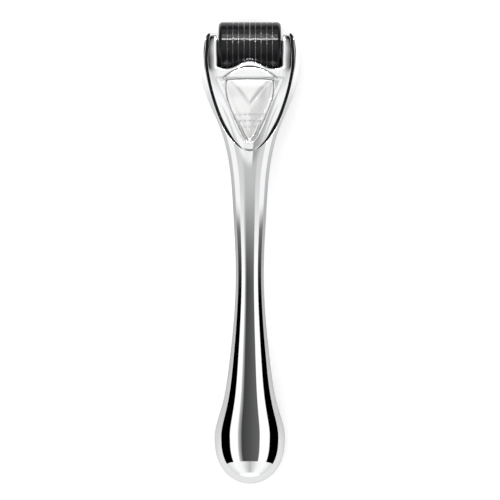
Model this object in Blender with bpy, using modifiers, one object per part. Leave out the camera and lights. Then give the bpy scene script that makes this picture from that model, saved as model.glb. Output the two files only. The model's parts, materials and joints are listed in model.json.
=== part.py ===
"""A derma roller: two plated handle shells, a shield cover with a thumb pad, and a drum of needle discs.

It lies on its back with the thumb pad up. Y runs along the handle towards the head, X runs across it, and
Z is up. The origin is on the table, under the middle of the whole length. Lengths are written in
millimetres times MM.
"""

import math

import bmesh
import bpy
from mathutils import Matrix, Vector

MM = 0.001
COLLECTION = "derma_roller"

# The axle and the drum of needle discs that turns on it.
AXLE_Y = 65.85 * MM
AXLE_Z = 9.15 * MM
NEEDLE_TIP_RADIUS = 9.15 * MM
NEEDLE_ROOT_RADIUS = 8.75 * MM
NEEDLES_PER_DISC = 60
DISC_COUNT = 9
DISC_PITCH = 1.82 * MM
DISC_THICKNESS = 0.2 * MM
STACK_GAP = 0.03 * MM
SPACER_RADIUS = 8.85 * MM
SPACER_SIDES = 30
DRUM_HALF_WIDTH = 10.1 * MM
CAP_SHOULDER_RADIUS = 1.3 * MM
HUB_RADIUS = 4.0 * MM
HUB_HALF_LENGTH = 9.7 * MM
BUSH_RADIUS = 2.6 * MM
BUSH_LENGTH = 4.0 * MM
AXLE_RADIUS = 1.0 * MM
AXLE_HALF_LENGTH = 14.5 * MM
WASHER_RADIUS = 3.0 * MM
WASHER_THICKNESS = 0.4 * MM
ROUND_SIDES = 24
FIT_GAP = 0.06 * MM
CAP_FACE_STEP = 0.3 * MM
CAP_FACE_RADIUS = 5.0 * MM

# The handle's outer form. Each station is (distance along Y, value), joined by a smooth curve. The stations
# before BULB_Y and after AXLE_Y only level the curve there, because ellipses close the form beyond them.
BULB_Y = -60 * MM
BULB_LENGTH = 15 * MM
BULB_POWER = 2.4
TIP_LENGTH = 5.4 * MM
TIP_POWER = 3.2
HALF_WIDTHS = (
    (-70, 9.75), (-60, 11.4), (-50, 9.1), (-38, 6.9), (-24, 5.35), (-6, 4.5), (12, 5.25), (26, 6.3),
    (34, 7.7), (42, 10.3), (50, 13.8), (57, 15.75), (63.5, 16.35), (68.5, 15.85), (70.6, 14.5), (71.3, 13.2),
)
PARTING_HEIGHTS = (
    (-75, 8.4), (-60, 8.9), (-48, 11.2), (-36, 14.0), (-22, 16.5), (-6, 17.8), (10, 17.6), (26, 16.3),
    (40, 14.3), (52, 11.4), (61, 9.5), (65.85, 9.15), (75, 9.15),
)
FRONT_HEIGHTS = (
    (-70, 7.1), (-60, 8.9), (-50, 7.1), (-38, 5.4), (-24, 4.2), (-6, 3.6), (12, 4.1), (26, 4.8),
    (34, 5.2), (42, 5.8), (50, 6.8), (57, 7.9), (61, 8.2), (65.85, 7.4), (70.7, 8.2),
)
BACK_HEIGHTS = (
    (-70, 7.35), (-60, 9.15), (-50, 7.1), (-38, 5.4), (-24, 4.2), (-6, 3.6), (12, 4.1), (26, 4.8),
    (34, 5.3), (42, 5.8), (50, 6.2), (57, 6.7), (65.85, 7.3), (74, 6.7),
)
ROUND_POWER = 2.0
HEAD_POWER = 2.6
HEAD_POWER_START = 20 * MM
HEAD_POWER_END = 52 * MM
SHELL_SEGMENTS = 18
PARTING_GAP = 0.06 * MM
LEAST_DEPTH = 0.2 * MM
CUT_SKIRT = 9 * MM
CUT_TOP = 40 * MM
CUT_FAR_X = 30 * MM
CUT_FAR_Y = 90 * MM
CUT_BELOW = -20 * MM
CUT_POCKET_FROM = 8 * MM
WELD_DISTANCE = 0.001 * MM
SCREW_MERGE = 0.0001 * MM

# The hollow inside the handle, and the pegs that hold its two shells together.
WALL = 1.6 * MM
HEAD_EXTRA_WALL = 1.9 * MM
HEAD_WALL_START = 26 * MM
HEAD_WALL_END = 38 * MM
HOLLOW_START = -71 * MM
HOLLOW_END = 52 * MM
HOLLOW_SIDES = 20
HOLLOW_STEP = 5 * MM
PEG_PLACES = (-57 * MM, 46 * MM)
PEG_RADIUS = 1.0 * MM
SOCKET_RADIUS = 2.2 * MM
PEG_REACH = 2.0 * MM
PEG_SIDES = 16
PEG_END_GAP = 0.3 * MM
PEG_FIT = 0.1 * MM
PEG_INTO_WALL = 0.8 * MM

# The slot that the drum turns in, open at the end, at the back and in front of the cover's arch.
SLOT_HALF_WIDTH = 10.7 * MM
SLOT_RADIUS = 9.75 * MM
SLOT_SIDES = 48
SLOT_OVERLAP = 0.5 * MM
COVER_SLOT_GAP = 0.1 * MM
FRONT_LIP_Y = 58 * MM
BACK_LIP_Y = 56.7 * MM
ARCH_MIDDLE_Y = 60.15 * MM
ARCH_WAVE = 1.2 * MM
ARCH_VALLEY_X = 7.5 * MM

# The cover, a shield with two prongs along the arms, and the thumb pad set into it.
COVER_RAISE = 1.2 * MM
COVER_SINK = 1.6 * MM
COVER_TIP_Y = 32.7 * MM
COVER_SHOULDER = (37.2 * MM, 6.2 * MM)
COVER_STATIONS = (
    (37.2, 6.2), (41.6, 8.8), (46.9, 10.9), (52.2, 12.5), (56.9, 13.5), (61.4, 14.1), (66.9, 13.8),
)
COVER_END_Y = 70.6 * MM
COVER_END_HALF_WIDTH = 12.9 * MM
COVER_PEG_X = 8.2 * MM
COVER_PEG_Y = 52.5 * MM
COVER_PEG_TOP = 0.78
COVER_PEG_LENGTH = 3.4 * MM
COVER_EDGE_GAP = 0.12 * MM
COVER_FLOOR_GAP = 0.15 * MM
PAD_TIP_Y = 35.3 * MM
PAD_SHOULDER = (40.5 * MM, 3.4 * MM)
PAD_STATIONS = ((40.5, 3.4), (43.7, 5.1), (47.7, 6.7), (51.5, 7.6), (54.0, 7.7))
PAD_END_Y = 55.6 * MM
PAD_END_HALF_WIDTH = 6.6 * MM
PAD_TOP = 0.85 * MM
PAD_BOTTOM = -0.3 * MM
PAD_EDGE_GAP = 0.1 * MM
PAD_FLOOR_GAP = 0.08 * MM
OUTLINE_STEP = 1.2 * MM


def clear_scene():
    for item in list(bpy.data.objects):
        bpy.data.objects.remove(item, do_unlink=True)


def new_collection(name):
    collection = bpy.data.collections.new(name)
    bpy.context.scene.collection.children.link(collection)
    return collection


def new_material(name, colour, metallic, roughness):
    material = bpy.data.materials.new(name)
    material.use_nodes = True
    shader = material.node_tree.nodes["Principled BSDF"]
    shader.inputs["Base Color"].default_value = (*colour, 1)
    shader.inputs["Metallic"].default_value = metallic
    shader.inputs["Roughness"].default_value = roughness
    return material


clear_scene()
PARTS = new_collection(COLLECTION)
CUTTERS = new_collection("cutters")
CHROME = new_material("plated_chrome", (0.82, 0.82, 0.84), 1.0, 0.06)
STEEL = new_material("needle_steel", (0.72, 0.72, 0.74), 1.0, 0.22)
BLACK = new_material("black_plastic", (0.02, 0.02, 0.022), 0.0, 0.28)
ACETAL = new_material("white_acetal", (0.83, 0.82, 0.78), 0.0, 0.4)
PEARL = new_material("pearl_plastic", (0.88, 0.88, 0.87), 0.0, 0.3)


def smooth_value(stations, place):
    """The value at a place on a smooth curve through stations of (place, value), both in millimetres."""
    at = min(max(place / MM, stations[0][0]), stations[-1][0])
    last = len(stations) - 1
    index = next(i for i in range(1, last + 1) if at <= stations[i][0])

    def slope(i):
        before = stations[max(i - 1, 0)]
        after = stations[min(i + 1, last)]
        return (after[1] - before[1]) / (after[0] - before[0])

    (x0, y0), (x1, y1) = stations[index - 1], stations[index]
    span = x1 - x0
    t = (at - x0) / span
    start = (1 + 2 * t) * (1 - t) ** 2 * y0 + t * (1 - t) ** 2 * span * slope(index - 1)
    end = t * t * (3 - 2 * t) * y1 + t * t * (t - 1) * span * slope(index)
    return (start + end) * MM


def ease(value, start, end):
    """0 before start, 1 after end, and a smooth step between them."""
    t = min(max((value - start) / (end - start), 0), 1)
    return t * t * (3 - 2 * t)


def place_object(name, mesh, material, collection=PARTS):
    item = bpy.data.objects.new(name, mesh)
    collection.objects.link(item)
    if material:
        mesh.materials.append(material)
        mesh.shade_smooth()
        mesh.set_sharp_from_angle(angle=math.radians(40))
    if collection is CUTTERS:
        item.hide_render = True
        item.display_type = "WIRE"
    return item


def mesh_from(name, bm):
    bmesh.ops.recalc_face_normals(bm, faces=bm.faces)
    mesh = bpy.data.meshes.new(name)
    bm.to_mesh(mesh)
    bm.free()
    return mesh


def loft(name, rings):
    """A closed mesh through rings that all have the same number of points."""
    bm = bmesh.new()
    loops = [[bm.verts.new(point) for point in ring] for ring in rings]
    for first, second in zip(loops, loops[1:]):
        for i, corner in enumerate(first):
            j = (i + 1) % len(first)
            bm.faces.new((corner, first[j], second[j], second[i]))
    bm.faces.new(loops[0])
    bm.faces.new(loops[-1])
    return mesh_from(name, bm)


def cylinder_between(name, start, end, radius, sides=ROUND_SIDES):
    """A plain closed cylinder from one point to another."""
    bm = bmesh.new()
    along = end - start
    turn = along.to_track_quat("Z", "Y").to_matrix().to_4x4()
    bmesh.ops.create_cone(
        bm, cap_ends=True, segments=sides, radius1=radius, radius2=radius, depth=along.length,
        matrix=Matrix.Translation((start + end) / 2) @ turn,
    )
    return mesh_from(name, bm)


def block(name, low, high):
    bm = bmesh.new()
    size = [b - a for a, b in zip(low, high)]
    middle = [(a + b) / 2 for a, b in zip(low, high)]
    bmesh.ops.create_cube(bm, size=1, matrix=Matrix.Translation(middle) @ Matrix.Diagonal((*size, 1)))
    return mesh_from(name, bm)


def cutter(name, mesh):
    return place_object(name, mesh, None, CUTTERS)


def combine(target, other, operation="DIFFERENCE", solver="EXACT"):
    modifier = target.modifiers.new(f"{operation.lower()}_{other.name}", "BOOLEAN")
    modifier.operation = operation
    modifier.solver = solver
    modifier.object = other


# The handle's outer form -------------------------------------------------------------------------


def stations_along():
    """Places along Y for the sections, close together where the form turns quickly."""
    bulb = [BULB_Y - BULB_LENGTH * math.cos(math.radians(angle)) for angle in range(3, 90, 12)]
    middle = [-60, -56, -52, -47, -42, -36, -30, -22, -14, -6, 2, 10, 18, 24, 29, 33, 36.5]
    head = [40, 43, 46, 49, 52, 54.5, 57, 59.5, 62.3, 64]
    tip_angles = (0, 15, 30, 45, 57, 68, 77, 84)
    tip = [AXLE_Y + TIP_LENGTH * math.sin(math.radians(angle)) for angle in tip_angles]
    return bulb + [y * MM for y in middle + head] + tip


def end_scale(y):
    """How much of its full depth the form keeps at y: a full ellipse closes each of its ends."""
    if y < BULB_Y:
        return math.sqrt(max(1 - ((BULB_Y - y) / BULB_LENGTH) ** BULB_POWER, 0))
    if y > AXLE_Y:
        return max(1 - ((y - AXLE_Y) / TIP_LENGTH) ** TIP_POWER, 0) ** (1 / TIP_POWER)
    return 1.0


def half_width(y):
    return smooth_value(HALF_WIDTHS, max(y, BULB_Y)) * (end_scale(y) if y < BULB_Y else 1.0)


def depth(heights, y):
    """How far the form reaches in front of the parting surface, or behind it, at y."""
    return smooth_value(heights, min(max(y, BULB_Y), AXLE_Y)) * end_scale(y)


def section_power(y):
    return ROUND_POWER + (HEAD_POWER - ROUND_POWER) * ease(y, HEAD_POWER_START, HEAD_POWER_END)


def half_section(y, heights, direction, grow, skirt):
    """Points of one half of a section, from +X over the crown to -X. direction is 1 in front and -1 behind.

    grow lifts the crown, and skirt carries the straight side on past the parting surface, for cutters.
    """
    width = half_width(y)
    height = max(depth(heights, y) + grow, LEAST_DEPTH)
    base = smooth_value(PARTING_HEIGHTS, y) + direction * PARTING_GAP / 2
    power = section_power(y)
    points = []
    for i in range(SHELL_SEGMENTS + 1):
        angle = math.pi * i / SHELL_SEGMENTS
        across = math.copysign(abs(math.cos(angle)) ** (2 / power), math.cos(angle))
        up = max(math.sin(angle), 0) ** (2 / power)
        points.append(Vector((width * across, y, base + direction * height * up)))
    if skirt:
        points.append(points[-1] - Vector((0, 0, direction * skirt)))
        points.append(points[0] - Vector((0, 0, direction * skirt)))
    return points


def half_form(name, heights, direction, grow=0.0, skirt=0.0):
    """The solid half of the handle's outer form on one side of the parting surface."""
    return loft(name, [half_section(y, heights, direction, grow, skirt) for y in stations_along()])


def hollow_wall(y):
    return WALL + HEAD_EXTRA_WALL * ease(y, HEAD_WALL_START, HEAD_WALL_END)


def hollow_ring(y):
    """One ring of the hollow: the outer form drawn in by its wall."""
    wall = hollow_wall(y)
    width = half_width(y) - wall
    parting = smooth_value(PARTING_HEIGHTS, y)
    ring = []
    for i in range(HOLLOW_SIDES):
        angle = math.tau * i / HOLLOW_SIDES
        heights = FRONT_HEIGHTS if math.sin(angle) > 0 else BACK_HEIGHTS
        height = depth(heights, y) - wall
        ring.append(Vector((width * math.cos(angle), y, parting + height * math.sin(angle))))
    return ring


def handle_hollow():
    count = round((HOLLOW_END - HOLLOW_START) / HOLLOW_STEP)
    places = [HOLLOW_START + (HOLLOW_END - HOLLOW_START) * i / count for i in range(count + 1)]
    return cutter("handle_hollow", loft("handle_hollow", [hollow_ring(y) for y in places]))


# Outlines seen from above ------------------------------------------------------------------------


def shield_outline(tip_y, shoulder, stations, end_y, end_half_width):
    """A shield: a parabola to its shoulders, smooth sides, and a straight end with rounded corners."""
    side = []
    for t in (0.25, 0.5, 0.75):
        side.append(Vector((shoulder[1] * t, tip_y + (shoulder[0] - tip_y) * t * t)))
    last_y = stations[-1][0] * MM
    count = round((last_y - shoulder[0]) / OUTLINE_STEP / 2)
    for i in range(count + 1):
        y = shoulder[0] + (last_y - shoulder[0]) * i / count
        side.append(Vector((smooth_value(stations, y), y)))
    corner = Vector((end_half_width, end_y))
    shoulder_point = side[-1]
    bend = Vector((shoulder_point.x, end_y))
    for t in (0.3, 0.6):
        side.append(shoulder_point * (1 - t) ** 2 + bend * 2 * t * (1 - t) + corner * t * t)
    side.append(corner)
    return [Vector((0, tip_y))] + side + [Vector((-p.x, p.y)) for p in reversed(side)]


def grown(outline, distance):
    """The outline moved outwards by a distance, each point along the mean of its two edges' normals."""
    moved = []
    for i, point in enumerate(outline):
        along = outline[(i + 1) % len(outline)] - outline[i - 1]
        moved.append(point + Vector((along.y, -along.x)).normalized() * distance)
    return moved


def prism(name, outline, low, high):
    """A solid of a flat outline between two heights, made from a filled curve."""
    curve = bpy.data.curves.new(name, "CURVE")
    curve.dimensions = "2D"
    curve.fill_mode = "BOTH"
    curve.extrude = (high - low) / 2
    spline = curve.splines.new("POLY")
    spline.points.add(len(outline) - 1)
    for point, corner in zip(spline.points, outline):
        point.co = (corner.x, corner.y, 0, 1)
    spline.use_cyclic_u = True
    guide = bpy.data.objects.new(name, curve)
    bpy.context.scene.collection.objects.link(guide)
    bpy.context.view_layer.update()
    evaluated = guide.evaluated_get(bpy.context.evaluated_depsgraph_get())
    mesh = bpy.data.meshes.new_from_object(evaluated)
    bpy.data.objects.remove(guide)
    bm = bmesh.new()
    bm.from_mesh(mesh)
    bmesh.ops.remove_doubles(bm, verts=bm.verts, dist=WELD_DISTANCE)
    bmesh.ops.translate(bm, verts=bm.verts, vec=(0, 0, (low + high) / 2))
    return mesh_from(name, bm)


# The slot for the drum ---------------------------------------------------------------------------


def slot_cutter(name, front_y, back_y):
    """The drum's clearance cylinder joined to blocks that open it at the end, in front and behind."""
    side = SLOT_HALF_WIDTH
    axle = Vector((0, AXLE_Y, AXLE_Z))
    across = Vector((side, 0, 0))
    slot = cutter(name, cylinder_between(name, axle - across, axle + across, SLOT_RADIUS, SLOT_SIDES))
    front = block(f"{name}_front", (-side, front_y, AXLE_Z), (side, CUT_FAR_Y, CUT_TOP))
    back_top = AXLE_Z + SLOT_OVERLAP
    back = block(f"{name}_back", (-side, back_y, CUT_BELOW), (side, CUT_FAR_Y, back_top))
    combine(slot, cutter(f"{name}_front", front), "UNION")
    combine(slot, cutter(f"{name}_back", back), "UNION")
    return slot


def arch_outline():
    """The scalloped front edge of the cover over the drum, closed far beyond the arms' tips."""
    side = SLOT_HALF_WIDTH
    points = []
    steps = 24
    for i in range(steps + 1):
        x = side * (2 * i / steps - 1)
        points.append(Vector((x, ARCH_MIDDLE_Y + ARCH_WAVE * math.cos(math.pi * x / ARCH_VALLEY_X))))
    return points + [Vector((side, CUT_FAR_Y)), Vector((-side, CUT_FAR_Y))]


# Handle, cover and pad ---------------------------------------------------------------------------


def peg(name, x, y, low, high, radius):
    ends = Vector((x, y, low)), Vector((x, y, high))
    return cutter(name, cylinder_between(name, *ends, radius, PEG_SIDES))


def pocket(name, outline, depth):
    """Everything above a depth below the front surface, inside an outline."""
    space = cutter(name, prism(name, outline, CUT_POCKET_FROM, CUT_TOP))
    floor = half_form(f"{name}_floor", FRONT_HEIGHTS, 1, grow=-depth, skirt=CUT_SKIRT)
    combine(space, cutter(f"{name}_floor", floor))
    return space


def build_handle(cover_outline):
    hollow = handle_hollow()
    front_slot = slot_cutter("front_slot", FRONT_LIP_Y, BACK_LIP_Y)
    back_slot = slot_cutter("back_slot", FRONT_LIP_Y, BACK_LIP_Y)
    axle_hole = cutter("axle_hole", cylinder_between(
        "axle_hole", Vector((-AXLE_HALF_LENGTH - FIT_GAP, AXLE_Y, AXLE_Z)),
        Vector((AXLE_HALF_LENGTH + FIT_GAP, AXLE_Y, AXLE_Z)), AXLE_RADIUS + FIT_GAP,
    ))
    front = place_object("handle_front_shell", half_form("handle_front_shell", FRONT_HEIGHTS, 1), CHROME)
    back = place_object("handle_back_shell", half_form("handle_back_shell", BACK_HEIGHTS, -1), CHROME)
    table = block("table_cut", (-CUT_FAR_X, -CUT_FAR_Y, CUT_BELOW), (CUT_FAR_X, CUT_FAR_Y, 0))
    combine(back, cutter("table_cut", table))
    for shell, slot in ((front, front_slot), (back, back_slot)):
        combine(shell, hollow)
        combine(shell, slot)
        combine(shell, axle_hole)
    opening = grown(cover_outline, COVER_EDGE_GAP)
    combine(front, pocket("cover_pocket", opening, COVER_SINK + COVER_FLOOR_GAP))
    for i, y in enumerate(PEG_PLACES):
        parting = smooth_value(PARTING_HEIGHTS, y)
        roof = parting + smooth_value(FRONT_HEIGHTS, y) - hollow_wall(y) + PEG_INTO_WALL
        floor = parting - smooth_value(BACK_HEIGHTS, y) + hollow_wall(y) - PEG_INTO_WALL
        combine(front, peg(f"shell_peg_{i + 1}", 0, y, parting - PEG_REACH, roof, PEG_RADIUS), "UNION")
        socket = peg(f"shell_socket_{i + 1}", 0, y, floor, parting - PEG_END_GAP, SOCKET_RADIUS)
        combine(back, socket, "UNION")
        bore_end = parting - PEG_REACH - PEG_END_GAP
        combine(back, peg(f"shell_bore_{i + 1}", 0, y, bore_end, parting, PEG_RADIUS + PEG_FIT))
    for side, x in (("left", -COVER_PEG_X), ("right", COVER_PEG_X)):
        name = f"cover_peg_hole_{side}"
        combine(front, peg(name, x, COVER_PEG_Y, CUT_POCKET_FROM, CUT_TOP, PEG_RADIUS + PEG_FIT))
    return front, back


def build_cover(cover_outline, pad_outline):
    crown = half_form("head_cover", FRONT_HEIGHTS, 1, grow=COVER_RAISE)
    cover = place_object("head_cover", crown, CHROME)
    edge = cutter("cover_edge", prism("cover_edge", cover_outline, 0, CUT_TOP))
    under = half_form("cover_under", FRONT_HEIGHTS, 1, grow=-COVER_SINK, skirt=CUT_SKIRT)
    combine(cover, edge, "INTERSECT")
    combine(cover, cutter("cover_under", under))
    crown_height = smooth_value(FRONT_HEIGHTS, COVER_PEG_Y)
    top = smooth_value(PARTING_HEIGHTS, COVER_PEG_Y) + COVER_PEG_TOP * crown_height
    for side, x in (("left", -COVER_PEG_X), ("right", COVER_PEG_X)):
        pin = peg(f"cover_peg_{side}", x, COVER_PEG_Y, top - COVER_PEG_LENGTH, top, PEG_RADIUS)
        combine(cover, pin, "UNION")
    opening = grown(pad_outline, PAD_EDGE_GAP)
    combine(cover, pocket("pad_recess", opening, -PAD_BOTTOM + PAD_FLOOR_GAP))
    axle = Vector((0, AXLE_Y, AXLE_Z))
    across = Vector((SLOT_HALF_WIDTH - COVER_SLOT_GAP, 0, 0))
    ends = axle - across, axle + across
    clearance = cylinder_between("drum_clearance", *ends, SLOT_RADIUS, SLOT_SIDES)
    arch = prism("cover_arch", arch_outline(), 0, CUT_TOP)
    # The exact solver loses the cover where these two cutters share the arms' inner planes.
    combine(cover, cutter("drum_clearance", clearance), solver="MANIFOLD")
    combine(cover, cutter("cover_arch", arch), solver="MANIFOLD")
    return cover


def build_pad(pad_outline):
    pad = place_object("thumb_pad", half_form("thumb_pad", FRONT_HEIGHTS, 1, grow=PAD_TOP), PEARL)
    under = half_form("pad_under", FRONT_HEIGHTS, 1, grow=PAD_BOTTOM, skirt=CUT_SKIRT)
    # The exact solver leaves the pad open where the two lofts' sections line up.
    edge = cutter("pad_edge", prism("pad_edge", pad_outline, 0, CUT_TOP))
    combine(pad, edge, "INTERSECT", "MANIFOLD")
    combine(pad, cutter("pad_under", under), solver="MANIFOLD")
    return pad


# Drum --------------------------------------------------------------------------------------------


def turned(name, profile, material, sides, parent, x=0.0):
    """A piece turned about the axle. The profile of (place along it, radius) runs down its outer side."""
    mesh = bpy.data.meshes.new(name)
    corners = [(radius, 0, along) for along, radius in profile]
    edges = [(i, (i + 1) % len(corners)) for i in range(len(corners))]
    mesh.from_pydata(corners, edges, [])
    item = place_object(name, mesh, material)
    screw = item.modifiers.new("turn", "SCREW")
    screw.axis = "Z"
    screw.steps = sides
    screw.render_steps = sides
    screw.use_merge_vertices = True
    screw.merge_threshold = SCREW_MERGE
    screw.use_smooth_shade = True
    item.parent = parent
    item.location = (x, 0, 0)
    item.rotation_euler = (0, math.pi / 2, 0)
    return item


def ring_profile(half_length, outer, inner):
    """The section of a plain ring, running down its outer side."""
    return ((half_length, outer), (-half_length, outer), (-half_length, inner), (half_length, inner))


def disc_mesh():
    """One etched needle disc: an outline of pointed teeth around a round bore, given its thickness."""
    bm = bmesh.new()
    half = DISC_THICKNESS / 2
    bore = HUB_RADIUS + FIT_GAP
    teeth = []
    for i in range(2 * NEEDLES_PER_DISC):
        angle = math.pi * i / NEEDLES_PER_DISC
        radius = NEEDLE_ROOT_RADIUS if i % 2 else NEEDLE_TIP_RADIUS
        teeth.append((radius * math.cos(angle), radius * math.sin(angle)))
    hole = []
    for i in range(ROUND_SIDES):
        angle = math.tau * i / ROUND_SIDES
        hole.append((bore * math.cos(angle), bore * math.sin(angle)))
    share = len(teeth) // len(hole)
    layers = []
    for x in (-half, half):
        rim = [bm.verts.new((x, a, b)) for a, b in teeth]
        eye = [bm.verts.new((x, a, b)) for a, b in hole]
        for i, corner in enumerate(eye):
            following = eye[(i + 1) % len(eye)]
            reach = [rim[(share * i + k) % len(rim)] for k in range(share + 1)]
            bm.faces.new((corner, *reach, following))
        layers.append((rim, eye))
    for low, high in zip(*layers):
        for i, corner in enumerate(low):
            j = (i + 1) % len(low)
            bm.faces.new((corner, low[j], high[j], high[i]))
    return mesh_from("needle_disc", bm)


def build_drum():
    drum = bpy.data.objects.new("drum_axis", None)
    PARTS.objects.link(drum)
    drum.location = (0, AXLE_Y, AXLE_Z)
    first_x = -DISC_PITCH * (DISC_COUNT - 1) / 2
    bore = HUB_RADIUS + FIT_GAP
    shared = disc_mesh()
    for i in range(DISC_COUNT):
        mesh = shared.copy()
        disc = place_object(f"needle_disc_{i + 1}", mesh, STEEL)
        disc.parent = drum
        disc.location = (first_x + i * DISC_PITCH, 0, 0)
    spacer_half = (DISC_PITCH - DISC_THICKNESS) / 2 - STACK_GAP
    for i in range(DISC_COUNT - 1):
        x = first_x + (i + 0.5) * DISC_PITCH
        ring = ring_profile(spacer_half, SPACER_RADIUS, bore)
        turned(f"spacer_{i + 1}", ring, BLACK, SPACER_SIDES, drum, x)
    inner_x = -first_x + DISC_THICKNESS / 2 + STACK_GAP
    shoulder = CAP_SHOULDER_RADIUS
    cap = [(inner_x, bore), (DRUM_HALF_WIDTH - CAP_FACE_STEP, bore), (DRUM_HALF_WIDTH, CAP_FACE_RADIUS)]
    for angle in (0, 22.5, 45, 67.5, 90):
        turn = math.radians(angle)
        along = DRUM_HALF_WIDTH - shoulder * (1 - math.cos(turn))
        cap.append((along, SPACER_RADIUS - shoulder * (1 - math.sin(turn))))
    cap.append((inner_x, SPACER_RADIUS))
    turned("end_cap_left", [(-along, radius) for along, radius in reversed(cap)], BLACK, SPACER_SIDES, drum)
    turned("end_cap_right", cap, BLACK, SPACER_SIDES, drum)
    hub = ring_profile(HUB_HALF_LENGTH, HUB_RADIUS, BUSH_RADIUS + FIT_GAP)
    turned("drum_hub", hub, BLACK, ROUND_SIDES, drum)
    bush = ring_profile(BUSH_LENGTH / 2, BUSH_RADIUS, AXLE_RADIUS + FIT_GAP)
    bush_x = DRUM_HALF_WIDTH - BUSH_LENGTH / 2
    turned("bush_left", bush, ACETAL, ROUND_SIDES, drum, -bush_x)
    turned("bush_right", bush, ACETAL, ROUND_SIDES, drum, bush_x)


def build_axle():
    across = Vector((AXLE_HALF_LENGTH, 0, 0))
    axle = Vector((0, AXLE_Y, AXLE_Z))
    pin = cylinder_between("axle_pin", axle - across, axle + across, AXLE_RADIUS)
    place_object("axle_pin", pin, STEEL)
    washer_x = (DRUM_HALF_WIDTH + SLOT_HALF_WIDTH) / 2
    frame = bpy.data.objects.new("axle_axis", None)
    PARTS.objects.link(frame)
    frame.location = axle
    ring = ring_profile(WASHER_THICKNESS / 2, WASHER_RADIUS, AXLE_RADIUS + FIT_GAP)
    turned("washer_left", ring, STEEL, ROUND_SIDES, frame, -washer_x)
    turned("washer_right", ring, STEEL, ROUND_SIDES, frame, washer_x)


COVER_OUTLINE = shield_outline(
    COVER_TIP_Y, COVER_SHOULDER, COVER_STATIONS, COVER_END_Y, COVER_END_HALF_WIDTH,
)
PAD_OUTLINE = shield_outline(PAD_TIP_Y, PAD_SHOULDER, PAD_STATIONS, PAD_END_Y, PAD_END_HALF_WIDTH)
build_handle(COVER_OUTLINE)
build_cover(COVER_OUTLINE, PAD_OUTLINE)
build_pad(PAD_OUTLINE)
build_drum()
build_axle()
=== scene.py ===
# %% [markdown]
# # A derma roller
#
# A derma roller is a hand tool: a slim plated handle with a fork at its end, and a small black drum of
# needle discs that turns on an axle between the two arms of the fork. A raised shield covers the head, and
# a pale pad for the thumb sits in it.
#
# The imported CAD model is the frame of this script. It gives every piece its place, and nothing in it is
# moved. What this script adds is the surface: fine meshes with rounded edges for the pieces that show, and
# a node material for every one of them.

import json
import math

import bpy
import numpy as np
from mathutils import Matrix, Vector
from mathutils.geometry import delaunay_2d_cdt


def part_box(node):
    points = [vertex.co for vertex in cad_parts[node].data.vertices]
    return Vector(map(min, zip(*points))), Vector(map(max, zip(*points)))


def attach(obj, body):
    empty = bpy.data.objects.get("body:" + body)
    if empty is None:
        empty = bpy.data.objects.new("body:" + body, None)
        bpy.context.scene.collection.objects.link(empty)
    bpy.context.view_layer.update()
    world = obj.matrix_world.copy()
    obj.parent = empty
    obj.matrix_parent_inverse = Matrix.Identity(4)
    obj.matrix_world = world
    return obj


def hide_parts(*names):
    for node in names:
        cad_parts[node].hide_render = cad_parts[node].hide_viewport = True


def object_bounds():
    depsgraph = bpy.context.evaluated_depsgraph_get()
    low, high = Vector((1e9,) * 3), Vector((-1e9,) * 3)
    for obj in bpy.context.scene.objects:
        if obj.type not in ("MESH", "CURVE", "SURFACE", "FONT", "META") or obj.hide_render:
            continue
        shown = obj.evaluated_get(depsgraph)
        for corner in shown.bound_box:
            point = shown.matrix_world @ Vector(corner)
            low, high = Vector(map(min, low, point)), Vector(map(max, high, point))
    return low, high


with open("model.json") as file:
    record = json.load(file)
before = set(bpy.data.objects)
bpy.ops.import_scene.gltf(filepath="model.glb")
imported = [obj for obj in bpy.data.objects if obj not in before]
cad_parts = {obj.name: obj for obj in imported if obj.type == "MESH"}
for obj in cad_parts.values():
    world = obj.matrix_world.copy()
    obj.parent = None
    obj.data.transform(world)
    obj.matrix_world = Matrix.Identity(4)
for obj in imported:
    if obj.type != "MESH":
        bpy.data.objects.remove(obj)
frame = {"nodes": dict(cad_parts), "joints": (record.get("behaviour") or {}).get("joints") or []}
CAD_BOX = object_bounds()
MM = 0.001

# %% [markdown]
# The joint says where the axle is, and the nodes' boxes say how large the drum is. All the maths below is
# in millimetres, because that is how a maker thinks of a thing this small, and the meshes are scaled to
# metres when they are made.

# %% Sizes read from the frame
axle = Vector(frame["joints"][0]["pos_m"]) / MM
AXLE_Y = axle.y
AXLE_Z = axle.z
DISC_COUNT = sum(name.startswith("needle_disc_") for name in frame["nodes"])
NEEDLE_TIP_RADIUS = (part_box("needle_disc_1")[1].z / MM) - AXLE_Z
DRUM_HALF_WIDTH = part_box("end_cap_right")[1].x / MM
SPACER_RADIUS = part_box("spacer_1")[1].z / MM - AXLE_Z
HANDLE_START_Y = CAD_BOX[0].y / MM
print("axle at", round(AXLE_Y, 2), round(AXLE_Z, 2), "drum", round(2 * DRUM_HALF_WIDTH, 2), "wide,",
      round(2 * NEEDLE_TIP_RADIUS, 2), "over the needles")

# %% [markdown]
# ## The handle's form
#
# Polished metal shows every flaw: where the curvature of a surface jumps, the reflections in it bend like
# a broken straw. The handle could be drawn with straight runs and arcs, but these jump in curvature where
# they meet. A cubic spline doesn't, so every outline here is one spline through a few stations. Each
# station is a pair: a place along the handle and the value there.

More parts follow.
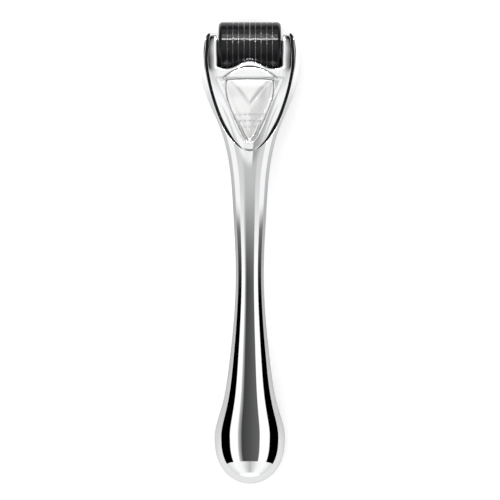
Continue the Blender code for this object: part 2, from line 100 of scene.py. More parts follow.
# %% A smooth line through stations
def smooth_line(stations, start_slope=None, end_slope=None):
    """A function of the place that passes through the stations with no jump in its curvature."""
    place, value = np.array(stations, float).T
    step = np.diff(place)
    rise = np.diff(value) / step
    count = len(place)
    matrix = np.zeros((count, count))
    right = np.zeros(count)
    for i in range(1, count - 1):
        matrix[i, i - 1:i + 2] = step[i - 1], 2 * (step[i - 1] + step[i]), step[i]
        right[i] = 6 * (rise[i] - rise[i - 1])
    matrix[0, 0] = 1
    matrix[-1, -1] = 1
    if start_slope is not None:
        matrix[0, :2] = 2 * step[0], step[0]
        right[0] = 6 * (rise[0] - start_slope)
    if end_slope is not None:
        matrix[-1, -2:] = step[-1], 2 * step[-1]
        right[-1] = 6 * (end_slope - rise[-1])
    bend = np.linalg.solve(matrix, right)

    def line(at):
        at = np.clip(at, place[0], place[-1])
        i = np.clip(np.searchsorted(place, at) - 1, 0, count - 2)
        before = (place[i + 1] - at) / step[i]
        after = 1 - before
        curve = (before ** 3 - before) * bend[i] + (after ** 3 - after) * bend[i + 1]
        return before * value[i] + after * value[i + 1] + curve * step[i] ** 2 / 6

    return line


def ease(value, start, end):
    """0 before start, 1 after end, and a smooth step between them."""
    t = np.clip((value - start) / (end - start), 0, 1)
    return t * t * (3 - 2 * t)


# %% The stations of the handle, the same as the CAD model's
BULB_Y = -60.0
BULB_LENGTH = BULB_Y - HANDLE_START_Y
BULB_POWER = 2.4
TIP_LENGTH = 5.4
TIP_POWER = 3.2
PARTING_GAP = 0.06
HALF_WIDTH = smooth_line((
    (-60, 11.4), (-50, 9.1), (-38, 6.9), (-24, 5.35), (-6, 4.5), (12, 5.25), (26, 6.3), (34, 7.7),
    (42, 10.3), (50, 13.8), (57, 15.75), (63.5, 16.35), (68.5, 15.85), (70.6, 14.5), (71.3, 13.2),
), start_slope=0)
PARTING_HEIGHT = smooth_line((
    (-75, 8.4), (-60, 8.9), (-48, 11.2), (-36, 14.0), (-22, 16.5), (-6, 17.8), (10, 17.6), (26, 16.3),
    (40, 14.3), (52, 11.4), (61, 9.5), (65.85, 9.15), (75, 9.15),
))
FRONT_HEIGHT = smooth_line((
    (-60, 8.9), (-50, 7.1), (-38, 5.4), (-24, 4.2), (-6, 3.6), (12, 4.1), (26, 4.8), (34, 5.2),
    (42, 5.8), (50, 6.8), (57, 7.9), (61, 8.2), (65.85, 7.4),
), start_slope=0, end_slope=0)
BACK_HEIGHT = smooth_line((
    (-60, 9.15), (-50, 7.1), (-38, 5.4), (-24, 4.2), (-6, 3.6), (12, 4.1), (26, 4.8), (34, 5.3),
    (42, 5.8), (50, 6.2), (57, 6.7), (65.85, 7.3),
), start_slope=0, end_slope=0)
for y in (-60, -6, 42, 63.5):
    print("at Y", y, "the handle is", round(2 * float(HALF_WIDTH(y)), 2), "mm wide")

# %% [markdown]
# Each shell is half of a tube. To mesh it evenly it is unrolled flat first: one coordinate, called girth,
# runs round the tube from the middle of its crown, and the other, called run, goes along it. On the long
# part the run is simply Y. At both ends the tube closes in an ellipse, and there the run goes on at a
# steady pace over the ellipse while Y slows down, so that the mesh stays even up to the very tip.

# %% From the flat pattern to the tube
BULB_RUN = 20.0
TIP_RUN = TIP_LENGTH * math.pi / 2
START_RUN = BULB_Y - BULB_RUN
END_RUN = AXLE_Y + TIP_RUN


def along(run):
    """Y, the share of the full width and the share of the full height at a run."""
    bulb = np.clip((BULB_Y - run) / BULB_RUN, 0, 1) * math.pi / 2
    tip = np.clip((run - AXLE_Y) / TIP_RUN, 0, 1) * math.pi / 2
    y = np.clip(run, BULB_Y, AXLE_Y)
    y = y - BULB_LENGTH * np.sin(bulb) ** (2 / BULB_POWER) + TIP_LENGTH * np.sin(tip) ** (2 / TIP_POWER)
    return y, np.cos(bulb), np.cos(bulb) * np.cos(tip) ** (2 / TIP_POWER)


def run_at(y):
    """The run at a Y of the head, the reverse of along."""
    over = np.clip((y - AXLE_Y) / TIP_LENGTH, 0, 1)
    return np.minimum(y, AXLE_Y) + TIP_RUN * np.arcsin(over ** (TIP_POWER / 2)) / (math.pi / 2)


def section_power(y):
    """2 for an ellipse on the grip, and more for the squarer section of the head."""
    return 2 + 0.6 * ease(y, 20, 52)


def section(run, height_line):
    """The half width, the height, the power and the quarter girth of the section at a run."""
    y, width_share, height_share = along(run)
    width = np.maximum(HALF_WIDTH(y) * width_share, 1e-4)
    height = np.maximum(height_line(np.clip(y, BULB_Y, AXLE_Y)) * height_share, 1e-4)
    power = section_power(y)
    quarter = math.pi / 2 * np.sqrt((width ** 2 + height ** 2) / 2)
    return width, height, power, quarter


def tube_point(flat, height_line, side, raised=0.0):
    """Points on the tube for points of the flat pattern. side is 1 in front and -1 behind."""
    girth, run = flat.T
    width, height, power, quarter = section(run, height_line)
    angle = np.clip(girth / quarter, -1, 1) * math.pi / 2
    sine = np.abs(np.sin(angle))
    cosine = np.abs(np.cos(angle))
    reach = (sine ** power + cosine ** power) ** (-1 / power)
    y = along(run)[0]
    x = np.sign(angle) * width * reach * sine
    z = PARTING_HEIGHT(y) + side * (PARTING_GAP / 2 + (height + raised) * reach * cosine)
    return np.stack((x, y, z), axis=1)


def girth_at(x, run, height_line):
    """The girth at which the tube reaches an X, the reverse of tube_point."""
    width, _, power, quarter = section(run, height_line)
    share = np.minimum(np.abs(x) / width, 0.99999) ** power
    angle = np.arctan((share / (1 - share)) ** (1 / power))
    return np.sign(x) * angle / (math.pi / 2) * quarter


probe = np.array(((0.0, 0.0), (3.0, 40.0)))
print("two points of the front crown:", tube_point(probe, FRONT_HEIGHT, 1).round(2).tolist())

# %% [markdown]
# ## A sheet cut to an outline
#
# The shells, the cover and the pad are all curved sheets with a cut edge. A Boolean cut with a Bevel after
# it could make them, but on a fine mesh the bevel breaks up. Here each sheet is cut while it is still
# flat: points are spread inside an outline, with rows that crowd up where an edge rolls over, and a
# Delaunay triangulation joins them. A lift function then sends every flat point to its place in space. The
# lift also gives the exact normals, so that the polish shows no facets.

# %% Distances to a line of points
def distance_to(points, line, closed=False):
    """The shortest distance from each point to a line through many points."""
    ends = np.roll(line, -1, axis=0) if closed else line[1:]
    starts = line if closed else line[:-1]
    reach = ends - starts
    length = np.maximum((reach ** 2).sum(axis=1), 1e-12)
    found = np.empty(len(points))
    for first in range(0, len(points), 2000):
        part = points[first:first + 2000]
        offset = part[:, None, :] - starts
        t = np.clip((offset * reach).sum(axis=2) / length, 0, 1)
        gap = offset - t[:, :, None] * reach
        found[first:first + 2000] = np.sqrt((gap ** 2).sum(axis=2).min(axis=1))
    return found


def inside(points, outline):
    """Which points lie inside a closed outline."""
    x, y = points.T
    found = np.zeros(len(points), bool)
    for (x0, y0), (x1, y1) in zip(outline, np.roll(outline, -1, axis=0)):
        if y0 == y1:
            continue
        crossed = (y0 > y) != (y1 > y)
        found ^= crossed & (x < x0 + (y - y0) * (x1 - x0) / (y1 - y0))
    return found


def even_steps(line, step):
    """The same line with a point about every step."""
    line = np.asarray(line, float)
    lengths = np.r_[0, np.cumsum(np.linalg.norm(np.diff(line, axis=0), axis=1))]
    count = max(round(lengths[-1] / step), 1)
    places = np.linspace(0, lengths[-1], count + 1)
    return np.stack([np.interp(places, lengths, axis) for axis in line.T], axis=1)


def rows_beside(line, distances):
    """Rows of points at some distances to the left of a line."""
    line = np.asarray(line, float)
    direction = np.gradient(line, axis=0)
    left = np.stack((-direction[:, 1], direction[:, 0]), axis=1)
    left /= np.maximum(np.linalg.norm(left, axis=1, keepdims=True), 1e-9)
    return [(distance, line + left * distance) for distance in distances]


# %% Filling an outline with triangles
def fill_outline(outline, spacing, rows=(), ties=()):
    """Points and triangles inside an outline. rows are (distance, points) beside its edge, and ties are lines
    that triangle edges have to follow."""
    low, high = outline.min(axis=0), outline.max(axis=0)
    kept = [outline]
    for distance, row in rows:
        row = row[inside(row, outline)]
        if len(row):
            near = distance_to(row, outline, closed=True)
            row = row[near > 0.93 * abs(distance)]
        kept.append(row)
    ties = [np.asarray(tie) for tie in ties]
    fixed = np.concatenate(kept + ties)
    xs = np.arange(low[0], high[0], spacing[0])
    ys = np.arange(low[1], high[1], spacing[1])
    grid = np.stack(np.meshgrid(xs, ys), axis=2)
    grid[1::2, :, 0] += spacing[0] / 2
    grid = grid.reshape(-1, 2)
    grid = grid[inside(grid, outline)]
    clear = np.ones(len(grid), bool)
    for first in range(0, len(grid), 2000):
        part = grid[first:first + 2000]
        gap = ((part[:, None, :] - fixed) ** 2).sum(axis=2).min(axis=1)
        clear[first:first + 2000] = gap > (0.6 * min(spacing)) ** 2
    grid = grid[clear]
    points = np.concatenate([fixed, grid])
    edges = []
    start = len(fixed) - sum(len(tie) for tie in ties)
    for tie in ties:
        edges += [(start + i, start + i + 1) for i in range(len(tie) - 1)]
        start += len(tie)
    face = list(range(len(outline)))
    made = delaunay_2d_cdt([Vector(point) for point in points], edges, [face], 1, 1e-7)
    return np.array([tuple(point) for point in made[0]]), np.array([tuple(f) for f in made[2]])


# %% Lifting the flat pattern into a closed body
def lifted_body(name, flat, triangles, top, bottom, material_of=None, crease_shade_of=None):
    """A closed mesh object: a top sheet, a bottom sheet, and walls between them round every edge.

    top and bottom send flat points to places in millimetres, and the top's normals are worked out from them.
    crease_shade_of says how deep in a crease each flat point lies, from 0 to 1, and the finish paints shade
    there by darkening the colour.
    """
    count = len(flat)
    step = 0.01
    upper = top(flat)
    run_x = top(flat + (step, 0)) - top(flat - (step, 0))
    run_y = top(flat + (0, step)) - top(flat - (0, step))
    normals = np.cross(run_x, run_y)
    length = np.linalg.norm(normals, axis=1, keepdims=True)
    normals = normals / np.maximum(length, 1e-12)
    lower = bottom(flat)
    if ((upper - lower) * normals).sum() < 0:
        normals = -normals
        triangles = triangles[:, ::-1]
    seen = {}
    for a, b, c in triangles:
        for edge in ((a, b), (b, c), (c, a)):
            seen[edge] = True
    rim = [(a, b) for a, b in seen if (b, a) not in seen]
    faces = [tuple(face) for face in triangles]
    faces += [(c + count, b + count, a + count) for a, b, c in triangles]
    faces += [(b, a, a + count, b + count) for a, b in rim]
    mesh = bpy.data.meshes.new(name)
    mesh.from_pydata((np.concatenate([upper, lower]) * MM).tolist(), [], faces)
    mesh.shade_smooth()
    face_normals = np.empty(len(mesh.polygons) * 3)
    mesh.polygons.foreach_get("normal", face_normals)
    face_normals = face_normals.reshape(-1, 3)
    loop_normals = [normals[i] for face in triangles for i in face]
    for i, face in enumerate(faces[len(triangles):], start=len(triangles)):
        loop_normals += [face_normals[i]] * len(face)
    mesh.normals_split_custom_set([tuple(normal) for normal in loop_normals])
    if material_of is not None:
        slots = np.zeros(len(faces), np.int32)
        slots[:len(triangles)] = material_of(flat, triangles)
        mesh.polygons.foreach_set("material_index", slots)
    # The crease mask is painted shade: the finishes darken the colour where it is high.
    if crease_shade_of is not None:
        crease = mesh.attributes.new("crease", "FLOAT", "POINT")
        depth = np.concatenate([crease_shade_of(flat), np.zeros(count)])
        crease.data.foreach_set("value", depth.astype(np.float32))
    piece = bpy.data.objects.new(name, mesh)
    bpy.context.scene.collection.objects.link(piece)
    print(name, "has", len(triangles), "triangles on its outer sheet")
    return piece

# %% [markdown]
# ## The shield's outline
#
# The cover is a shield: a rounded tip towards the grip, sides that swell towards the head, and a prong
# along each arm. The front shell has a pocket of the same outline, a little larger all round. The black
# line that frames the shield is the groove between the two, coloured near-black as painted shade, so its
# width is simply the difference between them, and it closes up towards the tip. The CAD model leaves only
# a clearance of 0.12 mm here. The groove is made much wider in this script, so that the line is as bold as
# on the real piece.

# %% The cover's outline, from the tip round the right side to the end of the prong
SLOT_HALF_WIDTH = 10.7
COVER_TIP_Y = 32.7
COVER_END_Y = 70.6
COVER_SIDE = smooth_line((
    (37.2, 6.2), (41.6, 8.8), (46.9, 10.9), (52.2, 12.5), (56.9, 13.5), (61.4, 14.1), (66.9, 13.8),
), start_slope=0.69)


def shield_side(tip_y, shoulder_y, shoulder_x, side_line, end_y, end_x, last_y):
    """The right half of a shield: a parabola at its tip, a smooth side, and a rounded corner at its end."""
    t = np.linspace(0, 1, 12)[:-1]
    tip = np.stack((shoulder_x * t, tip_y + (shoulder_y - tip_y) * t * t), axis=1)
    y = np.linspace(shoulder_y, last_y, 40)
    side = np.stack((side_line(y), y), axis=1)
    start = side[-1]
    bend = np.array((start[0], end_y))
    end = np.array((end_x, end_y))
    t = np.linspace(0, 1, 8)[1:, None]
    corner = start * (1 - t) ** 2 + bend * 2 * t * (1 - t) + end * t * t
    return np.concatenate([tip, side, corner])


COVER_RIGHT = shield_side(COVER_TIP_Y, 37.2, 6.2, COVER_SIDE, COVER_END_Y, 12.9, 66.9)


def mirrored(right):
    """A line that goes down the left side and up the right one."""
    left = right[::-1] * (-1, 1)
    return np.concatenate([left[:-1], right])


def moved_out(line, distance):
    """The line moved to its right, which is outwards on a shield that is drawn from left to right."""
    direction = np.gradient(line, axis=0)
    out = np.stack((direction[:, 1], -direction[:, 0]), axis=1)
    out /= np.linalg.norm(out, axis=1, keepdims=True)
    return line + out * np.reshape(distance, (-1, 1))


COVER_SHIELD = mirrored(COVER_RIGHT)
GROOVE_TIP_WIDTH = 0.12
GROOVE_SIDE_WIDTH = 0.5
COVER_SHARE = 1.2
groove = GROOVE_TIP_WIDTH + (GROOVE_SIDE_WIDTH - GROOVE_TIP_WIDTH) * ease(COVER_SHIELD[:, 1], 33, 40)
POCKET_SHIELD = even_steps(moved_out(COVER_SHIELD, groove), 0.4)
COVER_SHIELD = even_steps(moved_out(COVER_SHIELD, -COVER_SHARE * groove), 0.4)
print("the cover is", round(2 * COVER_SHIELD[:, 0].max(), 2), "mm wide, and the groove is",
      round((1 + COVER_SHARE) * GROOVE_SIDE_WIDTH, 2), "mm wide at its sides")

# %% [markdown]
# ## The two shells of the handle
#
# Both shells are moulded in plastic and plated, and meet at a parting line along the sides. Their outer
# edges are rolled over by only a little, so the parting line shows as a fine seam. The front shell's flat
# pattern also holds the pocket for the cover: two rows of points run along its edge, almost on top of each
# other, and the lift sends one up and the other down, which makes a clean wall.

# %% The flat pattern of a shell, with its fork
FRONT_LIP_Y = 58.0
BACK_LIP_Y = 56.7
SEAM_ROLL = 0.14
SLOT_ROLL = 0.45
EDGE_STEP = 0.45


def shell_edges(height_line, lip_y):
    """The right half of the pattern's edge, as its outer edge, the tip of the arm and the slot's side."""
    bulb = START_RUN + BULB_RUN * (1 - np.cos(np.linspace(0, math.pi / 2, 50)))
    runs = np.concatenate([bulb, np.linspace(BULB_Y, END_RUN, 300)[1:]])
    outer = np.stack((section(runs, height_line)[3], runs), axis=1)
    outer[0, 0] = 0
    inner_end = girth_at(np.array(SLOT_HALF_WIDTH), np.array(END_RUN), height_line)
    tip = np.stack((np.linspace(outer[-1, 0], inner_end, 12), np.full(12, END_RUN)), axis=1)
    runs = np.linspace(END_RUN, lip_y, 60)
    slot = np.stack((girth_at(np.full(60, SLOT_HALF_WIDTH), runs, height_line), runs), axis=1)
    return [even_steps(part, EDGE_STEP) for part in (outer, tip, slot)]


def shell_outline(height_line, lip_y):
    """The closed outline, and the parts of it that are seams and that are the slot's edges."""
    outer, tip, slot = shell_edges(height_line, lip_y)
    lip = even_steps(np.array((slot[-1], slot[-1] * (-1, 1))), EDGE_STEP)
    right = np.concatenate([outer, tip[1:], slot[1:]])
    left = right[::-1] * (-1, 1)
    outline = np.concatenate([right, lip[1:-1], left[:-1]])
    seam = np.concatenate([(outer[::-1] * (-1, 1))[:-1], outer])
    fork = np.concatenate([slot, lip[1:-1], slot[::-1] * (-1, 1)])
    return outline, seam, fork


def rolled(distance, radius, tilt=math.pi / 2):
    """How far a rolled edge has dropped at a distance from it. tilt is the slope that it ends at."""
    width = radius * math.sin(tilt)
    rest = np.clip(width - distance, 0, width)
    return radius - np.sqrt(np.maximum(radius ** 2 - rest ** 2, 0))


# %% The lift of a shell
WALL = 1.6
POCKET_DEPTH = 2.2
POCKET_ROLL = 0.16
POCKET_WALL = 0.04
POCKET_BEYOND = 9
NORMAL_STEP = 0.01
FORK_FLANK = 0.3
FORK_FLANK_END_X = 16
SOLID_START_Y = 38
SOLID_END_Y = 48


def outward(flat, height_line, side):
    """The tube's own normals, for drops and walls."""
    step = NORMAL_STEP
    run_x = tube_point(flat + (step, 0), height_line, side) - tube_point(flat - (step, 0), height_line, side)
    run_y = tube_point(flat + (0, step), height_line, side) - tube_point(flat - (0, step), height_line, side)
    normal = np.cross(run_x, run_y) * side
    return normal / np.maximum(np.linalg.norm(normal, axis=1, keepdims=True), 1e-9)


def pocket_area(pocket):
    """The pocket's edge, closed well beyond the ends of the arms."""
    far_run = END_RUN + POCKET_BEYOND
    far = np.array(((pocket[-1, 0], far_run), (pocket[0, 0], far_run)))
    return np.concatenate([pocket, far])


def shell_lifts(height_line, side, lip_y, lip_back, seam, fork, pocket=None):
    """The top and bottom lifts of a shell."""
    def drop(flat):
        lowered = rolled(distance_to(flat, seam), SEAM_ROLL)
        lowered = lowered + rolled(distance_to(flat, fork), SLOT_ROLL)
        if pocket is None:
            return lowered
        beside = distance_to(flat, pocket)
        within = inside(flat, pocket_area(pocket))
        sunk = POCKET_ROLL + (POCKET_DEPTH - POCKET_ROLL) * np.clip(beside / POCKET_WALL, 0, 1)
        return np.where(within, sunk, np.maximum(lowered, rolled(beside, POCKET_ROLL)))

    def top(flat):
        point = tube_point(flat, height_line, side)
        point = point - outward(flat, height_line, side) * drop(flat)[:, None]
        point[:, 2] = np.maximum(point[:, 2], 0)
        return point

    def bottom(flat):
        outer = tube_point(flat, height_line, side)
        hollow = outer - outward(flat, height_line, side) * WALL
        y = outer[:, 1]
        solid = outer.copy()
        flank = ease(np.abs(outer[:, 0]), SLOT_HALF_WIDTH, FORK_FLANK_END_X)
        solid[:, 0] -= np.sign(outer[:, 0]) * FORK_FLANK * flank
        solid[:, 1] -= lip_back * ease(y, lip_y - 10, lip_y) * (1 - ease(y, lip_y, lip_y + 2.5))
        solid[:, 2] = PARTING_HEIGHT(y) + side * PARTING_GAP / 2
        share = ease(flat[:, 1], SOLID_START_Y, SOLID_END_Y)[:, None]
        return hollow * (1 - share) + solid * share

    return top, bottom


# %% Cutting and lifting both shells
SHELL_SPACING = (0.85, 1.1)
SEAM_ROWS = (0.02, 0.07, SEAM_ROLL, 0.4)
FORK_ROWS = (0.03, 0.1, 0.2, 0.32, SLOT_ROLL, 0.7)
POCKET_ROWS = (-0.35, 0.05, 0.1, POCKET_ROLL, 0.35)


def pocket_row(pocket, distance):
    """The pocket's edge moved outwards in the flat pattern."""
    return moved_out(pocket, np.full(len(pocket), distance))


def trimmed(line, outline):
    """The points of a line that lie well inside an outline."""
    kept = inside(line, outline) & (distance_to(line, outline, closed=True) > 0.05)
    return line[kept]


def make_shell(name, height_line, side, lip_y, lip_back, pocket=None):
    outline, seam, fork = shell_outline(height_line, lip_y)
    rows = rows_beside(seam, SEAM_ROWS) + rows_beside(fork, FORK_ROWS)
    ties = []
    material_of = None
    if pocket is not None:
        rows += [(0, pocket_row(pocket, distance)) for distance in POCKET_ROWS]
        ties = [trimmed(pocket, outline), trimmed(pocket_row(pocket, -POCKET_WALL), outline)]

        def material_of(points, corners):
            return inside(points[corners].mean(axis=1), pocket_area(pocket)).astype(np.int32)

    flat, triangles = fill_outline(outline, SHELL_SPACING, rows, ties)
    top, bottom = shell_lifts(height_line, side, lip_y, lip_back, seam, fork, pocket)
    shell = lifted_body(f"{name}_surface", flat, triangles, top, bottom, material_of)
    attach(shell, "handle")
    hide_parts(name)
    return shell


pocket_runs = run_at(POCKET_SHIELD[:, 1])
POCKET_FLAT = np.stack((girth_at(POCKET_SHIELD[:, 0], pocket_runs, FRONT_HEIGHT), pocket_runs), axis=1)
front_shell = make_shell("handle_front_shell", FRONT_HEIGHT, 1, FRONT_LIP_Y, 2.0, POCKET_FLAT)
back_shell = make_shell("handle_back_shell", BACK_HEIGHT, -1, BACK_LIP_Y, 0.7)

# %% [markdown]
# ## Node materials
#
# A material here is a Principled shader with nodes in front of it. Two effects turn up in most of them, so
# each is a node group, built once: wiped wear, the hair-fine scratches and dull smudges that handling
# leaves, and moulded grain, the faint unevenness of an injection-moulded skin. A group only puts out
# masks and values, and the shader itself stays in the material.

# %% A short way to place and link nodes
def add_node(tree, kind, settings=(), **inputs):
    """A node with its properties and inputs set. An input may be a value or another node's output."""
    node = tree.nodes.new(kind)
    for name, value in dict(settings).items():
        setattr(node, name, value)
    for name, value in inputs.items():
        key = int(name[1:]) if name[0] == "_" else name.replace("_", " ")
        if isinstance(value, bpy.types.NodeSocket):
            tree.links.new(value, node.inputs[key])
        else:
            node.inputs[key].default_value = value
    return node


def maths(tree, operation, *values):
    """The result of a Math node."""
    inputs = {f"_{i}": value for i, value in enumerate(values)}
    return add_node(tree, "ShaderNodeMath", {"operation": operation}, **inputs).outputs[0]


def remap(tree, value, low, high, to_low=0.0, to_high=1.0):
    """A value moved from one range to another, and kept inside it."""
    node = add_node(tree, "ShaderNodeMapRange", (), Value=value)
    node.inputs["From Min"].default_value = low
    node.inputs["From Max"].default_value = high
    node.inputs["To Min"].default_value = to_low
    node.inputs["To Max"].default_value = to_high
    return node.outputs["Result"]


def smooth_step(tree, value, low, high):
    """0 below the range and 1 above it, with a soft start and end."""
    node = add_node(tree, "ShaderNodeMapRange", {"interpolation_type": "SMOOTHSTEP"}, Value=value)
    node.inputs["From Min"].default_value = low
    node.inputs["From Max"].default_value = high
    return node.outputs["Result"]


def blend_colours(tree, share, first, second):
    """A mix of two colours by a share."""
    node = add_node(tree, "ShaderNodeMix", {"data_type": "RGBA"})
    for key, value in ((0, share), (6, first), (7, second)):
        if isinstance(value, bpy.types.NodeSocket):
            tree.links.new(value, node.inputs[key])
        else:
            node.inputs[key].default_value = value
    return node.outputs[2]


def ramp(tree, value, stops):
    """A colour ramp. Each stop is (place, grey)."""
    node = add_node(tree, "ShaderNodeValToRGB", (), Fac=value)
    elements = node.color_ramp.elements
    while len(elements) < len(stops):
        elements.new(0.5)
    for element, (place, grey) in zip(elements, stops):
        element.position = place
        element.color = (grey, grey, grey, 1)
    return node.outputs["Color"]


# %% The wiped wear group
def new_group(name, inputs, outputs):
    """A node group with its sockets, and its input and output nodes."""
    group = bpy.data.node_groups.new(name, "ShaderNodeTree")
    for socket, default in inputs:
        made = group.interface.new_socket(socket, in_out="INPUT", socket_type="NodeSocketFloat")
        made.default_value = default
    for socket in outputs:
        group.interface.new_socket(socket, in_out="OUTPUT", socket_type="NodeSocketFloat")
    entry = group.nodes.new("NodeGroupInput")
    leave = group.nodes.new("NodeGroupOutput")
    return group, entry.outputs, leave


def object_place(tree):
    return tree.nodes.new("ShaderNodeTexCoord").outputs["Object"]


def noise(tree, place, scale, detail=2.0, **more):
    node = add_node(tree, "ShaderNodeTexNoise", (), Vector=place, Scale=scale, Detail=detail, **more)
    return node.outputs["Fac"]


def build_wear_group():
    """Scratches along and across the piece, and smudges. Both come out as masks from 0 to 1."""
    inputs = (("Scratch Size", 1.0), ("Scratches", 0.5), ("Smudges", 0.5))
    group, given, leave = new_group("wiped_wear", inputs, ("Scratch Mask", "Smudge Mask"))
    place = object_place(group)
    lines = []
    for turn, stretch in ((0.35, (9000.0, 260.0, 9000.0)), (-0.9, (7000.0, 300.0, 7000.0))):
        turned = add_node(group, "ShaderNodeMapping", (), Vector=place, Scale=stretch)
        turned.inputs["Rotation"].default_value = (0, 0, turn)
        size = add_node(group, "ShaderNodeVectorMath", {"operation": "SCALE"}, _0=turned.outputs[0])
        group.links.new(given["Scratch Size"], size.inputs["Scale"])
        lines.append(remap(group, noise(group, size.outputs[0], 1.0, 1.0), 0.66, 0.74))
    patches = remap(group, noise(group, place, 130.0, 3.0), 0.45, 0.7)
    both = maths(group, "MAXIMUM", *lines)
    scratches = maths(group, "MULTIPLY", maths(group, "MULTIPLY", both, patches), given["Scratches"])
    film_and_painted_shade = remap(group, noise(group, place, 95.0, 5.0, Distortion=0.8), 0.42, 0.75)
    group.links.new(scratches, leave.inputs["Scratch Mask"])
    group.links.new(maths(group, "MULTIPLY", film_and_painted_shade, given["Smudges"]), leave.inputs["Smudge Mask"])
    return group


def build_grain_group():
    """The height of a moulded skin: broad flow waves and a fine grain."""
    group, given, leave = new_group("moulded_grain", (("Grain", 0.5), ("Flow", 0.5)), ("Height",))
    place = object_place(group)
    fine = maths(group, "MULTIPLY", noise(group, place, 5200.0, 2.0), given["Grain"])
    broad = maths(group, "MULTIPLY", noise(group, place, 160.0, 1.0), given["Flow"])
    group.links.new(maths(group, "ADD", fine, broad), leave.inputs["Height"])
    return group


WEAR = build_wear_group()
GRAIN = build_grain_group()
print("node groups:", [group.name for group in bpy.data.node_groups])


# %% A material with a Principled shader to build on
def new_finish(name, colour, metallic, roughness, **sockets):
    material = bpy.data.materials.new(name)
    material.use_nodes = True
    tree = material.node_tree
    shader = tree.nodes["Principled BSDF"]
    shader.inputs["Base Color"].default_value = (*colour, 1)
    shader.inputs["Metallic"].default_value = metallic
    shader.inputs["Roughness"].default_value = roughness
    for socket, value in sockets.items():
        shader.inputs[socket.replace("_", " ")].default_value = value
    return material, tree, shader


def place_group(tree, group, **values):
    node = tree.nodes.new("ShaderNodeGroup")
    node.node_tree = group
    for socket, value in values.items():
        node.inputs[socket.replace("_", " ")].default_value = value
    return node.outputs


def painted_crease_shade(tree, colour, film_and_painted_shade):
    """The colour, with a painted shade colour laid over it where the mesh says that there is a crease."""
    crease = add_node(tree, "ShaderNodeAttribute", {"attribute_name": "crease"}).outputs["Fac"]
    return blend_colours(tree, crease, colour, film_and_painted_shade)


def bump(tree, shader, height, strength, distance):
    node = add_node(tree, "ShaderNodeBump", (), Height=height, Strength=strength, Distance=distance)
    tree.links.new(node.outputs["Normal"], shader.inputs["Normal"])


# %% [markdown]
# ## Plated chrome
#
# Decorative chrome on plastic is a mirror with a cool white tint. It is never a perfect one: the plating
# follows the faint flow of the moulding below, cleaning leaves hair scratches, and skin leaves a film that
# dulls the reflection in patches. The mirror is nearly all metal with a very low roughness, the film
# raises the roughness, and the moulding's flow bends the normal by a trace. Creases get a painted shade:
# a dark colour laid on by a mask that each mesh carries, so part of the dark lines is colour and not shading.

# %% Plated chrome
def plated_chrome():
    material, tree, shader = new_finish("plated_chrome_finish", (0.93, 0.935, 0.945), 1.0, 0.04)
    wear = place_group(tree, WEAR, Scratch_Size=1.0, Scratches=0.5, Smudges=0.7)
    rough = maths(tree, "MULTIPLY_ADD", wear["Smudge Mask"], 0.045, 0.03)
    rough = maths(tree, "MULTIPLY_ADD", wear["Scratch Mask"], 0.12, rough)
    tree.links.new(rough, shader.inputs["Roughness"])
    tint = blend_colours(tree, wear["Smudge Mask"], (0.94, 0.945, 0.955, 1), (0.9, 0.9, 0.9, 1))
    # Painted shade: the crease mask darkens the chrome's colour towards a dark grey.
    tint = painted_crease_shade(tree, tint, (0.16, 0.16, 0.165, 1))
    tree.links.new(tint, shader.inputs["Base Color"])
    skin = place_group(tree, GRAIN, Grain=0.0, Flow=1.0)
    bump(tree, shader, skin["Height"], 0.05, 0.0002)
    return material


def groove_painted_shade():
    """The plastic at the bottom of the groove round the shield, coloured near-black as painted shade and
    painted dark reflection.
    """
    material, tree, shader = new_finish("groove_painted_shade_finish", (0.01, 0.01, 0.011), 0.0, 0.6)
    skin = place_group(tree, GRAIN, Grain=0.8, Flow=0.3)
    tree.links.new(remap(tree, skin["Height"], 0.2, 0.9, 0.5, 0.75), shader.inputs["Roughness"])
    bump(tree, shader, skin["Height"], 0.3, 0.00003)
    return material


CHROME = plated_chrome()
GROOVE_PAINTED_SHADE = groove_painted_shade()
for shell in (front_shell, back_shell):
    shell.data.materials.append(CHROME)
    shell.data.materials.append(GROOVE_PAINTED_SHADE)

# %% [markdown]
# ## The shield cover
#
# The cover is the most worked piece: a raised crown whose sides fall away into the groove, a scalloped arch
# over the drum, a scoop cut like a crescent below the arch, and a shallow dish that holds the pad. It could
# be sculpted, but each of these is easy to say as a height above the plan, so they are added up in one
# lift function. Lines of points run along every crease, so that the triangles don't blunt it.

# %% The crown, and the lines that are cut into it
COVER_RAISE = 1.2
COVER_SINK = 1.6
ARCH_MIDDLE_Y = 60.15
ARCH_WAVE = 1.2
ARCH_VALLEY_X = 7.5
COVER_SLOT_X = 10.62
SCOOP_LOW_Y = 56.25
SCOOP_TOP_Y = 59.9
SCOOP_BEND = 0.0485
SCOOP_DEPTH = 0.8
DISH_DEPTH = 0.62
DISH_SLOPE = 1.25
DISH_END_Y = 55.9
PAD_POCKET_DEPTH = 1.5
COVER_EDGE_ROLL = (0.5, math.radians(30))
COVER_SLOT_ROLL = (1.1, math.radians(55))
COVER_EDGE_ROWS = (0.04, 0.12, 0.25, 0.5)
COVER_SLOT_ROWS = (0.06, 0.18, 0.34, 0.55, 0.9)
DISH_ROWS = (0.3, 0.62, 0.95, 1.25)
SCOOP_ROWS = (0.04, 0.08, 0.12, 0.16)


def crown_height(flat, raised):
    """The height of the head's front surface, raised by so much, at points of the plan."""
    x, y = flat.T
    tip = np.clip((y - AXLE_Y) / TIP_LENGTH, 0, 0.9999)
    share = (1 - tip ** TIP_POWER) ** (1 / TIP_POWER)
    height = FRONT_HEIGHT(np.clip(y, BULB_Y, AXLE_Y)) * share + raised
    power = section_power(y)
    inner = np.clip(np.abs(x) / HALF_WIDTH(y), 0, 0.999) ** power
    return PARTING_HEIGHT(y) + PARTING_GAP / 2 + height * (1 - inner) ** (1 / power)


def arch_y(x):
    return ARCH_MIDDLE_Y + ARCH_WAVE * np.cos(math.pi * x / ARCH_VALLEY_X)


def scoop_y(x):
    return SCOOP_TOP_Y - SCOOP_BEND * x ** 2


